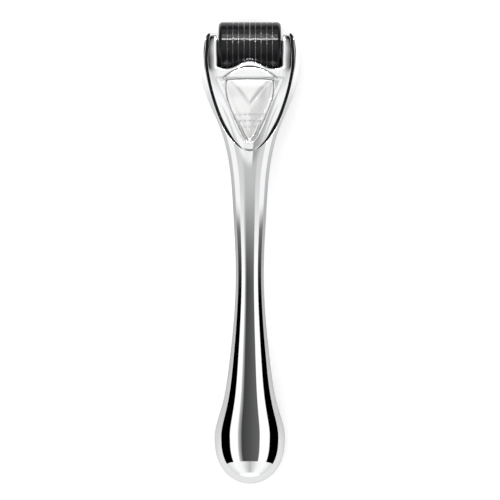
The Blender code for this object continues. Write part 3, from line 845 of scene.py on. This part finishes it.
PAD_SIDE = smooth_line(((40.5, 3.4), (43.7, 5.1), (47.7, 6.7), (51.5, 7.6), (54.0, 7.7)), start_slope=0.7)
PAD_RIGHT = shield_side(35.3, 40.5, 3.4, PAD_SIDE, 55.6, 6.6, 54.0)
DISH_SIDE = smooth_line((
    (38.0, 3.3), (42.4, 5.3), (48, 7.4), (51.7, 9.2), (DISH_END_Y, 10.9),
), start_slope=0.55)


def dish_outline():
    """The rim of the dish, closed along its upper edge."""
    t = np.linspace(0, 1, 12)[:-1]
    tip = np.stack((3.3 * t, 34.9 + 3.1 * t * t), axis=1)
    y = np.linspace(38.0, DISH_END_Y, 40)
    right = np.concatenate([tip, np.stack((DISH_SIDE(y), y), axis=1), ((10.5, 56.35),)])
    return even_steps(mirrored(right), 0.35)


def closed_shield(right, step, distance):
    """A whole shield from its right half, moved outwards by a distance."""
    line = moved_out(mirrored(right), np.full(2 * len(right) - 1, distance))
    return even_steps(np.concatenate([line, line[:1]]), step)[:-1]


DISH = dish_outline()
PAD_POCKET = closed_shield(PAD_RIGHT, 0.35, 0.08)
SCOOP_HALF = math.sqrt((SCOOP_TOP_Y - SCOOP_LOW_Y) / SCOOP_BEND)
scoop_x = np.linspace(-SCOOP_HALF, SCOOP_HALF, 60)
SCOOP_ARC = np.stack((scoop_x, scoop_y(scoop_x)), axis=1)
print("the scoop is", round(2 * SCOOP_HALF, 1), "mm wide and the dish", round(2 * DISH[:, 0].max(), 1), "mm")


# %% The cover's outline and lift
def cover_outline():
    """The shield's side up both prongs, and back along their inner edges and the arch."""
    shield = COVER_SHIELD[COVER_SHIELD[:, 1] > COVER_TIP_Y - 1]
    prong_x = shield[-1, 0]
    top_y = shield[-1, 1]
    end = even_steps(((prong_x, top_y), (COVER_SLOT_X, top_y)), 0.3)[1:]
    x = np.linspace(COVER_SLOT_X, -COVER_SLOT_X, 90)
    arch = np.stack((x, arch_y(x)), axis=1)
    inner = even_steps(((COVER_SLOT_X, top_y), (COVER_SLOT_X, arch[0, 1])), 0.3)[1:-1]
    far_inner = inner[::-1] * (-1, 1)
    far_end = end[::-1] * (-1, 1)
    slot = np.concatenate([end[-1:], inner, arch, far_inner, far_end[:1]])
    outline = np.concatenate([shield, end[:-1], slot, far_end[1:]])
    return outline, shield, slot


def scoop_drop(flat):
    """The crescent: a step down at its arc, which comes up again to nothing at its lower edge."""
    x, y = flat.T
    arc = scoop_y(x)
    room = np.maximum(arc - SCOOP_LOW_Y, 0.01)
    share = np.clip((y - SCOOP_LOW_Y) / room, 0, 1)
    deep = SCOOP_DEPTH * np.sqrt(np.clip(1 - (x / SCOOP_HALF) ** 2, 0, 1)) * share ** 1.3
    step = ease(arc - y, -0.02, 0.22)
    return np.where((np.abs(x) < SCOOP_HALF) & (y > SCOOP_LOW_Y), deep * step, 0)


def cover_crease_shade(flat):
    """The painted shade in the cover's creases: a dark line under the scoop's arc, and a fainter one along
    the rim of the dish.
    """
    arc = np.exp(-(distance_to(flat, SCOOP_ARC - (0, 0.1)) / 0.17) ** 2) * 0.8
    rim = np.exp(-(distance_to(flat, DISH, closed=True) / 0.2) ** 2) * 0.35
    return np.maximum(arc, rim)


def cover_lifts(shield, slot):
    def top(flat):
        height = crown_height(flat, COVER_RAISE)
        height = height - rolled(distance_to(flat, shield), *COVER_EDGE_ROLL)
        height = height - rolled(distance_to(flat, slot), *COVER_SLOT_ROLL)
        to_dish = np.where(inside(flat, DISH), distance_to(flat, DISH, closed=True), 0)
        shallower = 1 - 0.65 * ease(flat[:, 1], 51, 56)
        height = height - DISH_DEPTH * ease(to_dish, 0, DISH_SLOPE) * shallower
        height = height - scoop_drop(flat)
        to_pad = np.where(inside(flat, PAD_POCKET), distance_to(flat, PAD_POCKET, closed=True), 0)
        height = height - (PAD_POCKET_DEPTH - DISH_DEPTH) * np.clip(to_pad / POCKET_WALL, 0, 1)
        return np.column_stack((flat, height))

    def bottom(flat):
        x, y = flat.T
        height = crown_height(flat, 0) - COVER_SINK
        reach = NEEDLE_TIP_RADIUS + 0.3
        drum = AXLE_Z + np.sqrt(np.maximum(reach ** 2 - (y - AXLE_Y) ** 2, 0))
        between = (np.abs(x) < COVER_SLOT_X - 0.01) & (np.abs(y - AXLE_Y) < reach)
        low = np.where(between, np.maximum(height, drum), height)
        return np.column_stack((flat, np.minimum(low, top(flat)[:, 2] - 0.12)))

    return top, bottom


def make_cover():
    outline, shield, slot = cover_outline()
    rows = rows_beside(shield, COVER_EDGE_ROWS) + rows_beside(slot, COVER_SLOT_ROWS)
    rows += [(0, moved_out(DISH, np.full(len(DISH), -gap))) for gap in DISH_ROWS]
    rows += [(0, SCOOP_ARC - (0, gap)) for gap in SCOOP_ROWS]
    rows += [(0, SCOOP_ARC + (0, SCOOP_ROWS[0]))]
    closed = np.concatenate([PAD_POCKET, PAD_POCKET[:1]])
    inner = moved_out(closed, np.full(len(closed), -POCKET_WALL))
    inner[-1] = inner[0]
    low_edge = even_steps(((-SCOOP_HALF, SCOOP_LOW_Y), (SCOOP_HALF, SCOOP_LOW_Y)), 0.3)[1:-1]
    ties = [closed[:-1], inner[:-1], DISH, SCOOP_ARC[1:-1], low_edge]
    flat, triangles = fill_outline(outline, (0.42, 0.42), rows, ties)
    lifts = cover_lifts(shield, slot)
    cover = lifted_body("head_cover_surface", flat, triangles, *lifts, crease_shade_of=cover_crease_shade)
    cover.data.materials.append(CHROME)
    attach(cover, "handle")
    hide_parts("head_cover")


make_cover()

# %% [markdown]
# ## The thumb pad
#
# The pad is moulded in pearl plastic and has a facetted face: a flat triangle at its top, where the thumb
# lands, and a lobe on each side that meets the other in a ridge down the middle. Three planes, of which
# each point takes the lowest, give just that. Along the two edges of the triangle runs a shallow valley.
# Rows of small round dots give the thumb its grip. The CAD model has no dots, so they are a piece of their
# own here, and a painted shadow round the foot of each of them makes them stand out.

# %% The pad's face
PAD_EDGE_RAISE = 0.5
PAD_BOTTOM = -0.3
TRIANGLE_TOP = (5.5, 54.5)
TRIANGLE_LOW_Y = 47.5
RIDGE_END_Y = 38.0
RIDGE_FALL = 0.7
VALLEY_DEPTH = 0.13
VALLEY_WIDTH = 1.2
PAD_RIM_ROLL = 0.3
PAD_ROWS = (0.04, 0.1, 0.2, 0.3, 0.5)
PAD_SPACING = (0.33, 0.33)


def soft_lowest(first, second, softness):
    """The lower of two heights, with the crease between them rounded."""
    share = np.clip(0.5 + 0.5 * (second - first) / softness, 0, 1)
    return second * (1 - share) + first * share - softness * share * (1 - share)


def pad_valley(flat):
    """1 in the middle of the valley along the triangle's two edges, and 0 away from it."""
    edge = np.array(((-TRIANGLE_TOP[0], TRIANGLE_TOP[1]), (0, TRIANGLE_LOW_Y), TRIANGLE_TOP))
    return np.exp(-(distance_to(flat, edge) / VALLEY_WIDTH * 2) ** 2)


def facets(flat):
    """How far the pad's face lies below its flat triangle, which is at 0."""
    x, y = flat.T
    down = RIDGE_FALL / (TRIANGLE_LOW_Y - RIDGE_END_Y)
    across = down * (TRIANGLE_TOP[1] - TRIANGLE_LOW_Y) / TRIANGLE_TOP[0]
    lobe = down * (y - TRIANGLE_LOW_Y) - across * np.abs(x)
    face = soft_lowest(np.zeros(len(x)), lobe, 0.05)
    return face - VALLEY_DEPTH * pad_valley(flat)


def make_pad():
    outline = closed_shield(PAD_RIGHT, 0.3, -0.06)
    rows = [(gap, moved_out(outline, np.full(len(outline), -gap))) for gap in PAD_ROWS]
    flat, triangles = fill_outline(outline, PAD_SPACING, rows)

    def top(flat):
        edge = distance_to(flat, outline, closed=True)
        swell = 0.25 * ease(edge, 0, 2.6) + 0.3 * ease(flat[:, 1], 49, 55)
        height = crown_height(flat, PAD_EDGE_RAISE) + swell + facets(flat) * ease(edge, 0, 1.2)
        return np.column_stack((flat, height - rolled(edge, PAD_RIM_ROLL)))

    def bottom(flat):
        return np.column_stack((flat, crown_height(flat, PAD_BOTTOM)))

    # Painted shade: a dark band just inside the pad's rim and a fainter one along the valley.
    def crease(flat):
        rim = ease(0.35 - distance_to(flat, outline, closed=True), 0, 0.3)
        return np.maximum(0.3 * pad_valley(flat), 0.5 * rim)

    pad = lifted_body("thumb_pad_surface", flat, triangles, top, bottom, crease_shade_of=crease)
    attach(pad, "handle")
    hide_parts("thumb_pad")
    return pad, top


thumb_pad, pad_face = make_pad()

# %% The grip dots
DOT_RADIUS = 0.45
DOT_PITCH = 1.55
DOT_ROWS = ((44.4, 7), (42.4, 5), (40.5, 3))
DOT_RINGS = ((1, -0.15), (1, 0.08), (0.85, 0.26), (0.5, 0.36))
DOT_PAINTED_SHADOW = (1.0, 1.0, 0.3, 0.0)
DOT_TOP = 0.39
DOT_FOOT = 0.15


def grip_dots():
    """Low round buttons, each a small dome whose rim is sunk into the pad's face."""
    turns = np.radians(np.arange(0, 360, 22.5))
    points = []
    faces = []
    for row_y, count in DOT_ROWS:
        for i in range(count):
            middle = np.array((((i - (count - 1) / 2) * DOT_PITCH, row_y),))
            base = pad_face(middle)[0]
            first = len(points)
            for share, up in DOT_RINGS:
                for turn in turns:
                    offset = DOT_RADIUS * share * np.array((math.cos(turn), math.sin(turn), 0))
                    points.append(base + offset + (0, 0, up))
            points.append(base + (0, 0, DOT_TOP))
            points.append(base - (0, 0, DOT_FOOT))
            sides = len(turns)
            for ring in range(3):
                for k in range(sides):
                    low = first + ring * sides
                    after = (k + 1) % sides
                    faces.append((low + k, low + after, low + sides + after, low + sides + k))
            for k in range(sides):
                after = (k + 1) % sides
                faces.append((first + 3 * sides + k, first + 3 * sides + after, first + 4 * sides))
                faces.append((first + after, first + k, first + 4 * sides + 1))
    mesh = bpy.data.meshes.new("thumb_pad_dots")
    mesh.from_pydata((np.array(points) * MM).tolist(), [], faces)
    mesh.shade_smooth()
    # Painted shadow: the rings at each dot's foot get the full crease mask, which fades out up the dome.
    film_and_painted_shade = np.concatenate([np.repeat(DOT_PAINTED_SHADOW, len(turns)), (0.0, 0.0)])
    crease = mesh.attributes.new("crease", "FLOAT", "POINT")
    crease.data.foreach_set("value", np.tile(film_and_painted_shade, len(points) // len(film_and_painted_shade)).astype(np.float32))
    dots = bpy.data.objects.new("thumb_pad_dots", mesh)
    bpy.context.scene.collection.objects.link(dots)
    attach(dots, "handle")
    print("the pad has", sum(count for _, count in DOT_ROWS), "grip dots")
    return dots


pad_dots = grip_dots()


# %% Pearl plastic
def pearl_plastic():
    """A pale plastic with metal flake just under a glossy skin."""
    material, tree, shader = new_finish(
        "pearl_plastic_finish", (0.88, 0.88, 0.88), 0.75, 0.2, Coat_Weight=0.6, Coat_Roughness=0.05)
    place = object_place(tree)
    flake = add_node(tree, "ShaderNodeTexVoronoi", (), Vector=place, Scale=9000.0).outputs["Color"]
    sparkle = add_node(tree, "ShaderNodeSeparateColor", (), Color=flake).outputs["Red"]
    wear = place_group(tree, WEAR, Scratch_Size=1.2, Scratches=0.5, Smudges=0.8)
    share = maths(tree, "MULTIPLY_ADD", wear["Smudge Mask"], 0.25, maths(tree, "MULTIPLY", sparkle, 0.25))
    colour = blend_colours(tree, share, (0.9, 0.9, 0.895, 1), (0.8, 0.8, 0.81, 1))
    # Painted shade: the crease mask darkens the pearl colour at the pad's rim, along its valley and round the
    # dots' feet.
    colour = painted_crease_shade(tree, colour, (0.3, 0.3, 0.305, 1))
    tree.links.new(colour, shader.inputs["Base Color"])
    tree.links.new(remap(tree, sparkle, 0.0, 1.0, 0.15, 0.26), shader.inputs["Roughness"])
    skin = place_group(tree, GRAIN, Grain=0.6, Flow=0.6)
    bump(tree, shader, skin["Height"], 0.1, 0.00005)
    return material


PEARL = pearl_plastic()
for piece in (thumb_pad, pad_dots):
    piece.data.materials.append(PEARL)

# %% [markdown]
# ## The drum
#
# The drum is a stack on a hub: a rounded cap, then needle discs and black rings in turn, then the other
# cap. The rings and caps are turned parts, so they are made like turned parts: a profile swept round the
# axle. Each ring has a tiny radius on its edges, because that is what breaks a highlight into short runs,
# one for each ring. A disc is a thin plate etched with 60 needles, each a slender point that stands proud
# of the rings by about 0.3 mm.

# %% Turning a profile round the axle
TURN_STEPS = 180


def turned_piece(name, profile):
    """A piece of revolution about the axle from a profile of (place along X, radius)."""
    profile = np.asarray(profile, float)
    turns = np.linspace(0, math.tau, TURN_STEPS, endpoint=False)
    count = len(profile)
    x = np.tile(profile[:, 0], TURN_STEPS)
    radius = np.tile(profile[:, 1], TURN_STEPS)
    turn = np.repeat(turns, count)
    points = np.stack((x, AXLE_Y + radius * np.cos(turn), AXLE_Z + radius * np.sin(turn)), axis=1)
    faces = []
    for i in range(TURN_STEPS):
        start = i * count
        after = (i + 1) % TURN_STEPS * count
        for k in range(count):
            j = (k + 1) % count
            faces.append((start + k, start + j, after + j, after + k))
    mesh = bpy.data.meshes.new(name)
    mesh.from_pydata((points * MM).tolist(), [], faces)
    mesh.shade_smooth()
    mesh.set_sharp_from_angle(angle=math.radians(35))
    piece = bpy.data.objects.new(name, mesh)
    bpy.context.scene.collection.objects.link(piece)
    return piece


def arc(middle_x, middle_radius, radius, start, end, count):
    """Points of an arc in the profile, with angles in degrees from the outward direction of the radius."""
    found = []
    for degrees in np.linspace(start, end, count):
        turn = math.radians(degrees)
        found.append((middle_x + radius * math.sin(turn), middle_radius + radius * math.cos(turn)))
    return found


# %% Rings and caps
RING_EDGE = 0.14
HUB_BORE = 4.06
DISC_BODY_RADIUS = 8.62
CAP_SHOULDER = 1.3
CAP_FACE_RADIUS = 5.0
CAP_FACE_STEP = 0.3


def ring_section(low_x, high_x):
    """A ring's section: from its bore up one face, over two small radii, and down the other."""
    top = SPACER_RADIUS - RING_EDGE
    return ([(low_x, HUB_BORE)] + arc(low_x + RING_EDGE, top, RING_EDGE, -90, 0, 5)
            + arc(high_x - RING_EDGE, top, RING_EDGE, 0, 90, 5) + [(high_x, HUB_BORE)])


def cap_section(inner_x, side):
    """A cap's section, with a small radius at the stack and a large one at its outer shoulder."""
    outer = DRUM_HALF_WIDTH
    points = [(inner_x, HUB_BORE)] + arc(inner_x + RING_EDGE, SPACER_RADIUS - RING_EDGE, RING_EDGE, -90, 0, 5)
    points += arc(outer - CAP_SHOULDER, SPACER_RADIUS - CAP_SHOULDER, CAP_SHOULDER, 0, 90, 12)
    points += [(outer, CAP_FACE_RADIUS), (outer - CAP_FACE_STEP, CAP_FACE_RADIUS - 0.3)]
    points += [(outer - CAP_FACE_STEP, HUB_BORE)]
    return points if side > 0 else [(-x, radius) for x, radius in reversed(points)]


black_pieces = []
for number in range(1, DISC_COUNT):
    low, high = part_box(f"spacer_{number}")
    ring = turned_piece(f"drum_ring_{number}", ring_section(low.x / MM, high.x / MM))
    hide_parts(f"spacer_{number}")
    black_pieces.append(ring)
for side, name in ((-1, "left"), (1, "right")):
    low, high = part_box(f"end_cap_{name}")
    inner_x = low.x / MM if side > 0 else -high.x / MM
    cap = turned_piece(f"drum_cap_{name}", cap_section(inner_x, side))
    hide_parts(f"end_cap_{name}")
    black_pieces.append(cap)
for piece in black_pieces:
    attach(piece, "drum")
print("turned", len(black_pieces), "black pieces")

# %% Needle discs
NEEDLES = 60
NEEDLE_THICKNESS = 0.2
NEEDLE_ROOT_WIDTH = 0.26


def disc_mesh(number):
    """A disc's plate and its needles: each a four-sided point that narrows to its tip."""
    low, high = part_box(f"needle_disc_{number}")
    middle = (low.x + high.x) / 2 / MM
    half = NEEDLE_THICKNESS / 2
    points = []
    faces = []
    pitch = math.tau / NEEDLES
    phase = pitch * (0.5 if number % 2 else 0.0)
    root_turn = NEEDLE_ROOT_WIDTH / 2 / DISC_BODY_RADIUS
    for x in (middle - half, middle + half):
        for i in range(NEEDLES):
            for turn in (i * pitch + phase - root_turn, i * pitch + phase + root_turn):
                for radius in (DISC_BODY_RADIUS, HUB_BORE):
                    points.append((x, AXLE_Y + radius * math.cos(turn), AXLE_Z + radius * math.sin(turn)))
    rim = 4 * NEEDLES
    for i in range(NEEDLES):
        near, far = 4 * i, 4 * i + 2
        following = 4 * ((i + 1) % NEEDLES)
        for a, b in ((near, far), (far, following)):
            faces.append((a, a + 1, b + 1, b))
            faces.append((a + rim, b + rim, b + 1 + rim, a + 1 + rim))
            faces.append((a + 1, a + 1 + rim, b + 1 + rim, b + 1))
        faces.append((far, following, following + rim, far + rim))
        turn = i * pitch + phase
        tip = len(points)
        points.append((middle, AXLE_Y + NEEDLE_TIP_RADIUS * math.cos(turn),
                       AXLE_Z + NEEDLE_TIP_RADIUS * math.sin(turn)))
        faces += [(near, far, tip), (far, far + rim, tip)]
        faces += [(far + rim, near + rim, tip), (near + rim, near, tip)]
    mesh = bpy.data.meshes.new(f"needle_ring_{number}")
    mesh.from_pydata((np.array(points) * MM).tolist(), [], faces)
    return mesh


needle_pieces = []
for number in range(1, DISC_COUNT + 1):
    disc = bpy.data.objects.new(f"needle_ring_{number}", disc_mesh(number))
    bpy.context.scene.collection.objects.link(disc)
    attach(disc, "drum")
    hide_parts(f"needle_disc_{number}")
    needle_pieces.append(disc)
print("set", NEEDLES * len(needle_pieces), "needles")

# %% [markdown]
# ## Black plastic, steel and acetal
#
# The black rings are glossy, but moulded plastic is never a flat black: it has a faint grain, a film from
# handling and a few pale scuffs on its outer edges. The needles' colour is dark where they leave the rings
# and bright at their points. The axle and the washers are ground, with fine rings round them. The
# bushes are plain milky acetal.

# %% Black plastic
def black_plastic():
    material, tree, shader = new_finish(
        "black_plastic_finish", (0.008, 0.008, 0.009), 0.0, 0.2, Specular_IOR_Level=0.22)
    wear = place_group(tree, WEAR, Scratch_Size=1.5, Scratches=0.5, Smudges=0.6)
    dull = maths(tree, "MULTIPLY_ADD", wear["Smudge Mask"], 0.08, 0.07)
    rough = maths(tree, "MULTIPLY_ADD", wear["Scratch Mask"], 0.25, dull)
    tree.links.new(rough, shader.inputs["Roughness"])
    scuffed = maths(tree, "MULTIPLY", wear["Scratch Mask"], 0.6)
    colour = blend_colours(tree, scuffed, (0.006, 0.006, 0.007, 1), (0.04, 0.04, 0.042, 1))
    tree.links.new(colour, shader.inputs["Base Color"])
    skin = place_group(tree, GRAIN, Grain=0.5, Flow=0.5)
    bump(tree, shader, skin["Height"], 0.15, 0.00004)
    return material


def needle_steel():
    """Steel whose colour is dark where it leaves the rings and bright at the needles' points."""
    material, tree, shader = new_finish("needle_steel_finish", (0.55, 0.55, 0.57), 1.0, 0.3)
    axes = add_node(tree, "ShaderNodeSeparateXYZ", (), Vector=object_place(tree)).outputs
    from_axle_y = maths(tree, "SUBTRACT", axes["Y"], AXLE_Y * MM)
    from_axle_z = maths(tree, "SUBTRACT", axes["Z"], AXLE_Z * MM)
    radius = maths(tree, "SQRT", maths(tree, "ADD", maths(tree, "POWER", from_axle_y, 2.0),
                                       maths(tree, "POWER", from_axle_z, 2.0)))
    bright = remap(tree, radius, DISC_BODY_RADIUS * MM, NEEDLE_TIP_RADIUS * MM)
    colour = blend_colours(tree, bright, (0.16, 0.16, 0.165, 1), (0.72, 0.72, 0.74, 1))
    skin = place_group(tree, GRAIN, Grain=1.0, Flow=0.4)
    shaded = blend_colours(tree, remap(tree, skin["Height"], 0.3, 1.1, 0.0, 0.3), colour, (0.3, 0.3, 0.31, 1))
    tree.links.new(shaded, shader.inputs["Base Color"])
    tree.links.new(remap(tree, skin["Height"], 0.3, 1.1, 0.25, 0.42), shader.inputs["Roughness"])
    return material


def axle_steel():
    material, tree, shader = new_finish("axle_steel_finish", (0.66, 0.66, 0.68), 1.0, 0.2)
    place = object_place(tree)
    rings = add_node(tree, "ShaderNodeMapping", (), Vector=place, Scale=(14000.0, 300.0, 300.0))
    ground = noise(tree, rings.outputs[0], 1.0, 1.0)
    tree.links.new(remap(tree, ground, 0.3, 0.7, 0.14, 0.3), shader.inputs["Roughness"])
    colour = blend_colours(tree, ground, (0.6, 0.6, 0.62, 1), (0.72, 0.72, 0.74, 1))
    tree.links.new(colour, shader.inputs["Base Color"])
    bump(tree, shader, ground, 0.15, 0.00002)
    return material


def white_acetal():
    material, tree, shader = new_finish(
        "white_acetal_finish", (0.83, 0.82, 0.78), 0.0, 0.4, Subsurface_Weight=0.15, Subsurface_Scale=0.0006)
    skin = place_group(tree, GRAIN, Grain=0.7, Flow=0.5)
    share = remap(tree, skin["Height"], 0.3, 0.9)
    colour = blend_colours(tree, share, (0.8, 0.79, 0.75, 1), (0.86, 0.85, 0.82, 1))
    tree.links.new(colour, shader.inputs["Base Color"])
    tree.links.new(remap(tree, skin["Height"], 0.3, 0.9, 0.33, 0.48), shader.inputs["Roughness"])
    bump(tree, shader, skin["Height"], 0.2, 0.00003)
    return material


BLACK = black_plastic()
NEEDLE_STEEL = needle_steel()
AXLE_STEEL = axle_steel()
ACETAL = white_acetal()
for piece in black_pieces:
    piece.data.materials.append(BLACK)
for piece in needle_pieces:
    piece.data.materials.append(NEEDLE_STEEL)

# %% The finish of the CAD pieces that stay
KEPT_NODES = {
    "drum_hub": BLACK,
    "bush_left": ACETAL,
    "bush_right": ACETAL,
    "axle_pin": AXLE_STEEL,
    "washer_left": AXLE_STEEL,
    "washer_right": AXLE_STEEL,
}
for name, finish in KEPT_NODES.items():
    mesh = frame["nodes"][name].data
    mesh.materials.clear()
    mesh.materials.append(finish)
print("finished", len(KEPT_NODES), "CAD pieces as they are")

# %% [markdown]
# ## The studio
#
# A mirror has no look of its own: it shows the room. A studio that has to show chrome builds a tent of white
# cloth round it, and hangs dark cards in it, so that the metal gets clean white bands with crisp black edges.
# The same is done here. The tent is half a tube round the handle's length that only mirror-like rays can
# see. Its pattern depends on two things: the angle from straight overhead, which places the bands, and the
# place along the handle, which fades the dark cards out towards the head. Over the head one grey card hangs
# on the right only, for the pad's right lobe. Two liberties are taken with the floor: mirrors see it in a
# grey of its own, and it glows a little for the camera alone, so that the shadow on it stays faint.

# %% The light tent
TENT_RADIUS = 150.0
TENT_START_Y = -420.0
TENT_END_Y = 330.0
CARD_END_Y = -172.0
FADE_START_Y = -25.0
FADE_END_Y = 46.0
HEAD_START_Y = 45.0
HEAD_END_Y = 54.0
ARM_START_Y = 58.0
ARM_END_Y = 80.0
SIDE_START_Y = 4.0
SIDE_END_Y = 22.0
SIDE_ANGLE = 50
BACK_LIGHT_ANGLE = 25
BACK_LIGHT_HALF = 4.0
BACK_LIGHT_Y = 180.0


def tent_mesh():
    turns = np.radians(np.linspace(-90, 90, 61))
    rings = [[(TENT_RADIUS * math.sin(a) * MM, y * MM, TENT_RADIUS * math.cos(a) * MM) for a in turns]
             for y in (TENT_START_Y, TENT_END_Y)]
    count = len(turns)
    faces = [(i, i + 1, i + 1 + count, i + count) for i in range(count - 1)]
    mesh = bpy.data.meshes.new("light_tent")
    mesh.from_pydata(rings[0] + rings[1], [], faces)
    mesh.shade_smooth()
    return mesh


def share_of_angle(degrees):
    """Where an angle from overhead lies on the ramp that goes from the left horizon to the right one."""
    return degrees / 180 + 0.5


def sky(tree, turn, stops):
    """The grey of the cloth over the angle. Each stop is (degrees from overhead, grey)."""
    return ramp(tree, turn, [(share_of_angle(degrees), grey) for degrees, grey in stops])


def tent_cloth():
    material = bpy.data.materials.new("tent_cloth")
    material.use_nodes = True
    tree = material.node_tree
    tree.nodes.remove(tree.nodes["Principled BSDF"])
    place = object_place(tree)
    axes = add_node(tree, "ShaderNodeSeparateXYZ", (), Vector=place).outputs
    angle = maths(tree, "ARCTAN2", axes["X"], axes["Z"])
    turn = maths(tree, "MULTIPLY_ADD", angle, 1 / math.pi, 0.5)
    y = maths(tree, "MULTIPLY", axes["Y"], 1 / MM)
    bands = sky(tree, turn, (
        (-90, 0.0), (-53.5, 0.0), (-52.5, 1.08), (-31, 1.08), (-28, 0.5), (-21, 0.2), (-19.5, 0.055),
        (0, 0.085), (24, 0.135), (25, 1.08), (52.5, 1.08), (53.5, 0.0), (90, 0.0),
    ))
    neck_sky = sky(tree, turn, (
        (-90, 0.5), (-54, 0.5), (-50, 0.68), (-26, 0.68), (-18, 0.56), (22, 0.56), (27, 0.68),
        (50, 0.68), (54, 0.5), (90, 0.5),
    ))
    head_sky = sky(tree, turn, (
        (-90, 0.9), (-55, 1.0), (-20, 1.0), (-8, 0.88), (6, 0.95), (9, 0.36), (22, 0.44), (36, 0.6),
        (39, 1.0), (55, 1.0), (90, 0.9),
    ))
    arm_sky = sky(tree, turn, (
        (-90, 0.0), (-67, 0.01), (-56, 0.28), (-48, 0.65), (-38, 0.97), (38, 0.97), (48, 0.65),
        (56, 0.28), (67, 0.01), (90, 0.0),
    ))
    low_sky = sky(tree, turn, (
        (-90, 0.7), (-50, 1.05), (-28, 1.0), (0, 0.52), (28, 1.0), (50, 1.05), (90, 0.7),
    ))
    neck = smooth_step(tree, y, FADE_START_Y, FADE_END_Y)
    head = smooth_step(tree, y, HEAD_START_Y, HEAD_END_Y)
    above = blend_colours(tree, neck, bands, neck_sky)
    above = blend_colours(tree, head, above, head_sky)
    off_centre = maths(tree, "ABSOLUTE", maths(tree, "SUBTRACT", turn, 0.5))
    low_down = maths(tree, "GREATER_THAN", off_centre, share_of_angle(SIDE_ANGLE) - 0.5)
    sides = maths(tree, "MULTIPLY", low_down, smooth_step(tree, y, SIDE_START_Y, SIDE_END_Y))
    above = blend_colours(tree, sides, above, (0.98, 0.98, 0.98, 1))
    arms = smooth_step(tree, y, ARM_START_Y, ARM_END_Y)
    above = blend_colours(tree, arms, above, arm_sky)
    past_cards = maths(tree, "LESS_THAN", y, CARD_END_Y)
    cloth = blend_colours(tree, past_cards, above, low_sky)
    lit = add_node(tree, "ShaderNodeEmission", (), Color=cloth, Strength=1.0)
    overhead = maths(tree, "COMPARE", turn, 0.5, share_of_angle(BACK_LIGHT_ANGLE) - 0.5)
    strip = maths(tree, "MULTIPLY", maths(tree, "COMPARE", y, BACK_LIGHT_Y, BACK_LIGHT_HALF), overhead)
    beyond = maths(tree, "MULTIPLY", maths(tree, "GREATER_THAN", y, BACK_LIGHT_Y), overhead)
    strength = maths(tree, "MULTIPLY_ADD", strip, 100.0, maths(tree, "MULTIPLY_ADD", beyond, 4.0, 1.0))
    tree.links.new(strength, lit.inputs["Strength"])
    tree.links.new(lit.outputs[0], tree.nodes["Material Output"].inputs["Surface"])
    material.cycles.emission_sampling = "NONE"
    return material


tent = bpy.data.objects.new("light_tent", tent_mesh())
bpy.context.scene.collection.objects.link(tent)
tent.data.materials.append(tent_cloth())
for kind in ("camera", "diffuse", "shadow", "transmission", "volume_scatter"):
    setattr(tent, f"visible_{kind}", False)

# %% The floor, the air and the soft light
floor_mesh = bpy.data.meshes.new("studio_floor")
FLOOR_HALF = 3.0
FLOOR_GLOW = 0.16
floor_corners = [(x * FLOOR_HALF, y * FLOOR_HALF, 0) for x, y in ((-1, -1), (1, -1), (1, 1), (-1, 1))]
floor_mesh.from_pydata(floor_corners, [], [(0, 1, 2, 3)])
studio_floor = bpy.data.objects.new("studio_floor", floor_mesh)
bpy.context.scene.collection.objects.link(studio_floor)
floor_paint, tree, shader = new_finish("studio_floor_paint", (0.95, 0.95, 0.95), 0.0, 0.8)
shader.inputs["Specular IOR Level"].default_value = 0.0
floor_y = add_node(tree, "ShaderNodeSeparateXYZ", (), Vector=object_place(tree)).outputs["Y"]
mirrored_tone = ramp(tree, remap(tree, floor_y, -0.075, 0.15), (
    (0.0, 0.7), (0.08, 0.6), (0.22, 0.45), (0.4, 0.4), (0.52, 0.62), (0.6, 0.95), (0.76, 0.95), (0.82, 0.25),
    (1.0, 0.1)))
rays = tree.nodes.new("ShaderNodeLightPath").outputs
in_mirror = rays["Is Glossy Ray"]
shader.inputs["Emission Color"].default_value = (1, 1, 1, 1)
tree.links.new(maths(tree, "MULTIPLY", rays["Is Camera Ray"], FLOOR_GLOW), shader.inputs["Emission Strength"])
floor_tone = blend_colours(tree, in_mirror, (0.97, 0.97, 0.97, 1), mirrored_tone)
tree.links.new(floor_tone, shader.inputs["Base Color"])
floor_mesh.materials.append(floor_paint)

world = bpy.data.worlds.new("studio_air")
world.use_nodes = True
air = world.node_tree.nodes["Background"]
air.inputs["Color"].default_value = (1, 1, 1, 1)
air.inputs["Strength"].default_value = 1.06
bpy.context.scene.world = world

softbox = bpy.data.lights.new("softbox", "AREA")
softbox.size = 1.2
softbox.energy = 5.0
softbox_object = bpy.data.objects.new("softbox", softbox)
softbox_object.location = (-0.5, 0.5, 1.4)
softbox_object.rotation_euler = (-softbox_object.location).to_track_quat("-Z", "Y").to_euler()
softbox_object.visible_glossy = False
bpy.context.scene.collection.objects.link(softbox_object)

# %% [markdown]
# ## The camera
#
# The roller is shown square on, from straight above its thumb side, through a long lens, so that the
# needles' end isn't seen in perspective. The lens is 200 mm on a 36 mm sensor, and the camera stands where
# the roller's length fills nine tenths of the frame.

# %% The camera
LENS = 200.0
SENSOR = 36.0
VIEW_HEIGHT = 162.0
VIEW_MIDDLE = (0.07, 0.81)
WIDEST_Z = 10.0
camera = bpy.data.cameras.new("camera")
camera.lens = LENS
camera.sensor_width = SENSOR
camera_object = bpy.data.objects.new("camera", camera)
camera_z = WIDEST_Z + VIEW_HEIGHT * LENS / SENSOR
camera_object.location = (VIEW_MIDDLE[0] * MM, VIEW_MIDDLE[1] * MM, camera_z * MM)
bpy.context.scene.collection.objects.link(camera_object)
bpy.context.scene.camera = camera_object
bpy.context.scene.view_settings.view_transform = "Standard"
print("the camera stands", round(camera_object.location.z, 3), "m above the floor")

# %% [markdown]
# ## The last step
#
# The last line brings the view layer up to date.

# %% Bringing the view layer up to date
bpy.context.view_layer.update()
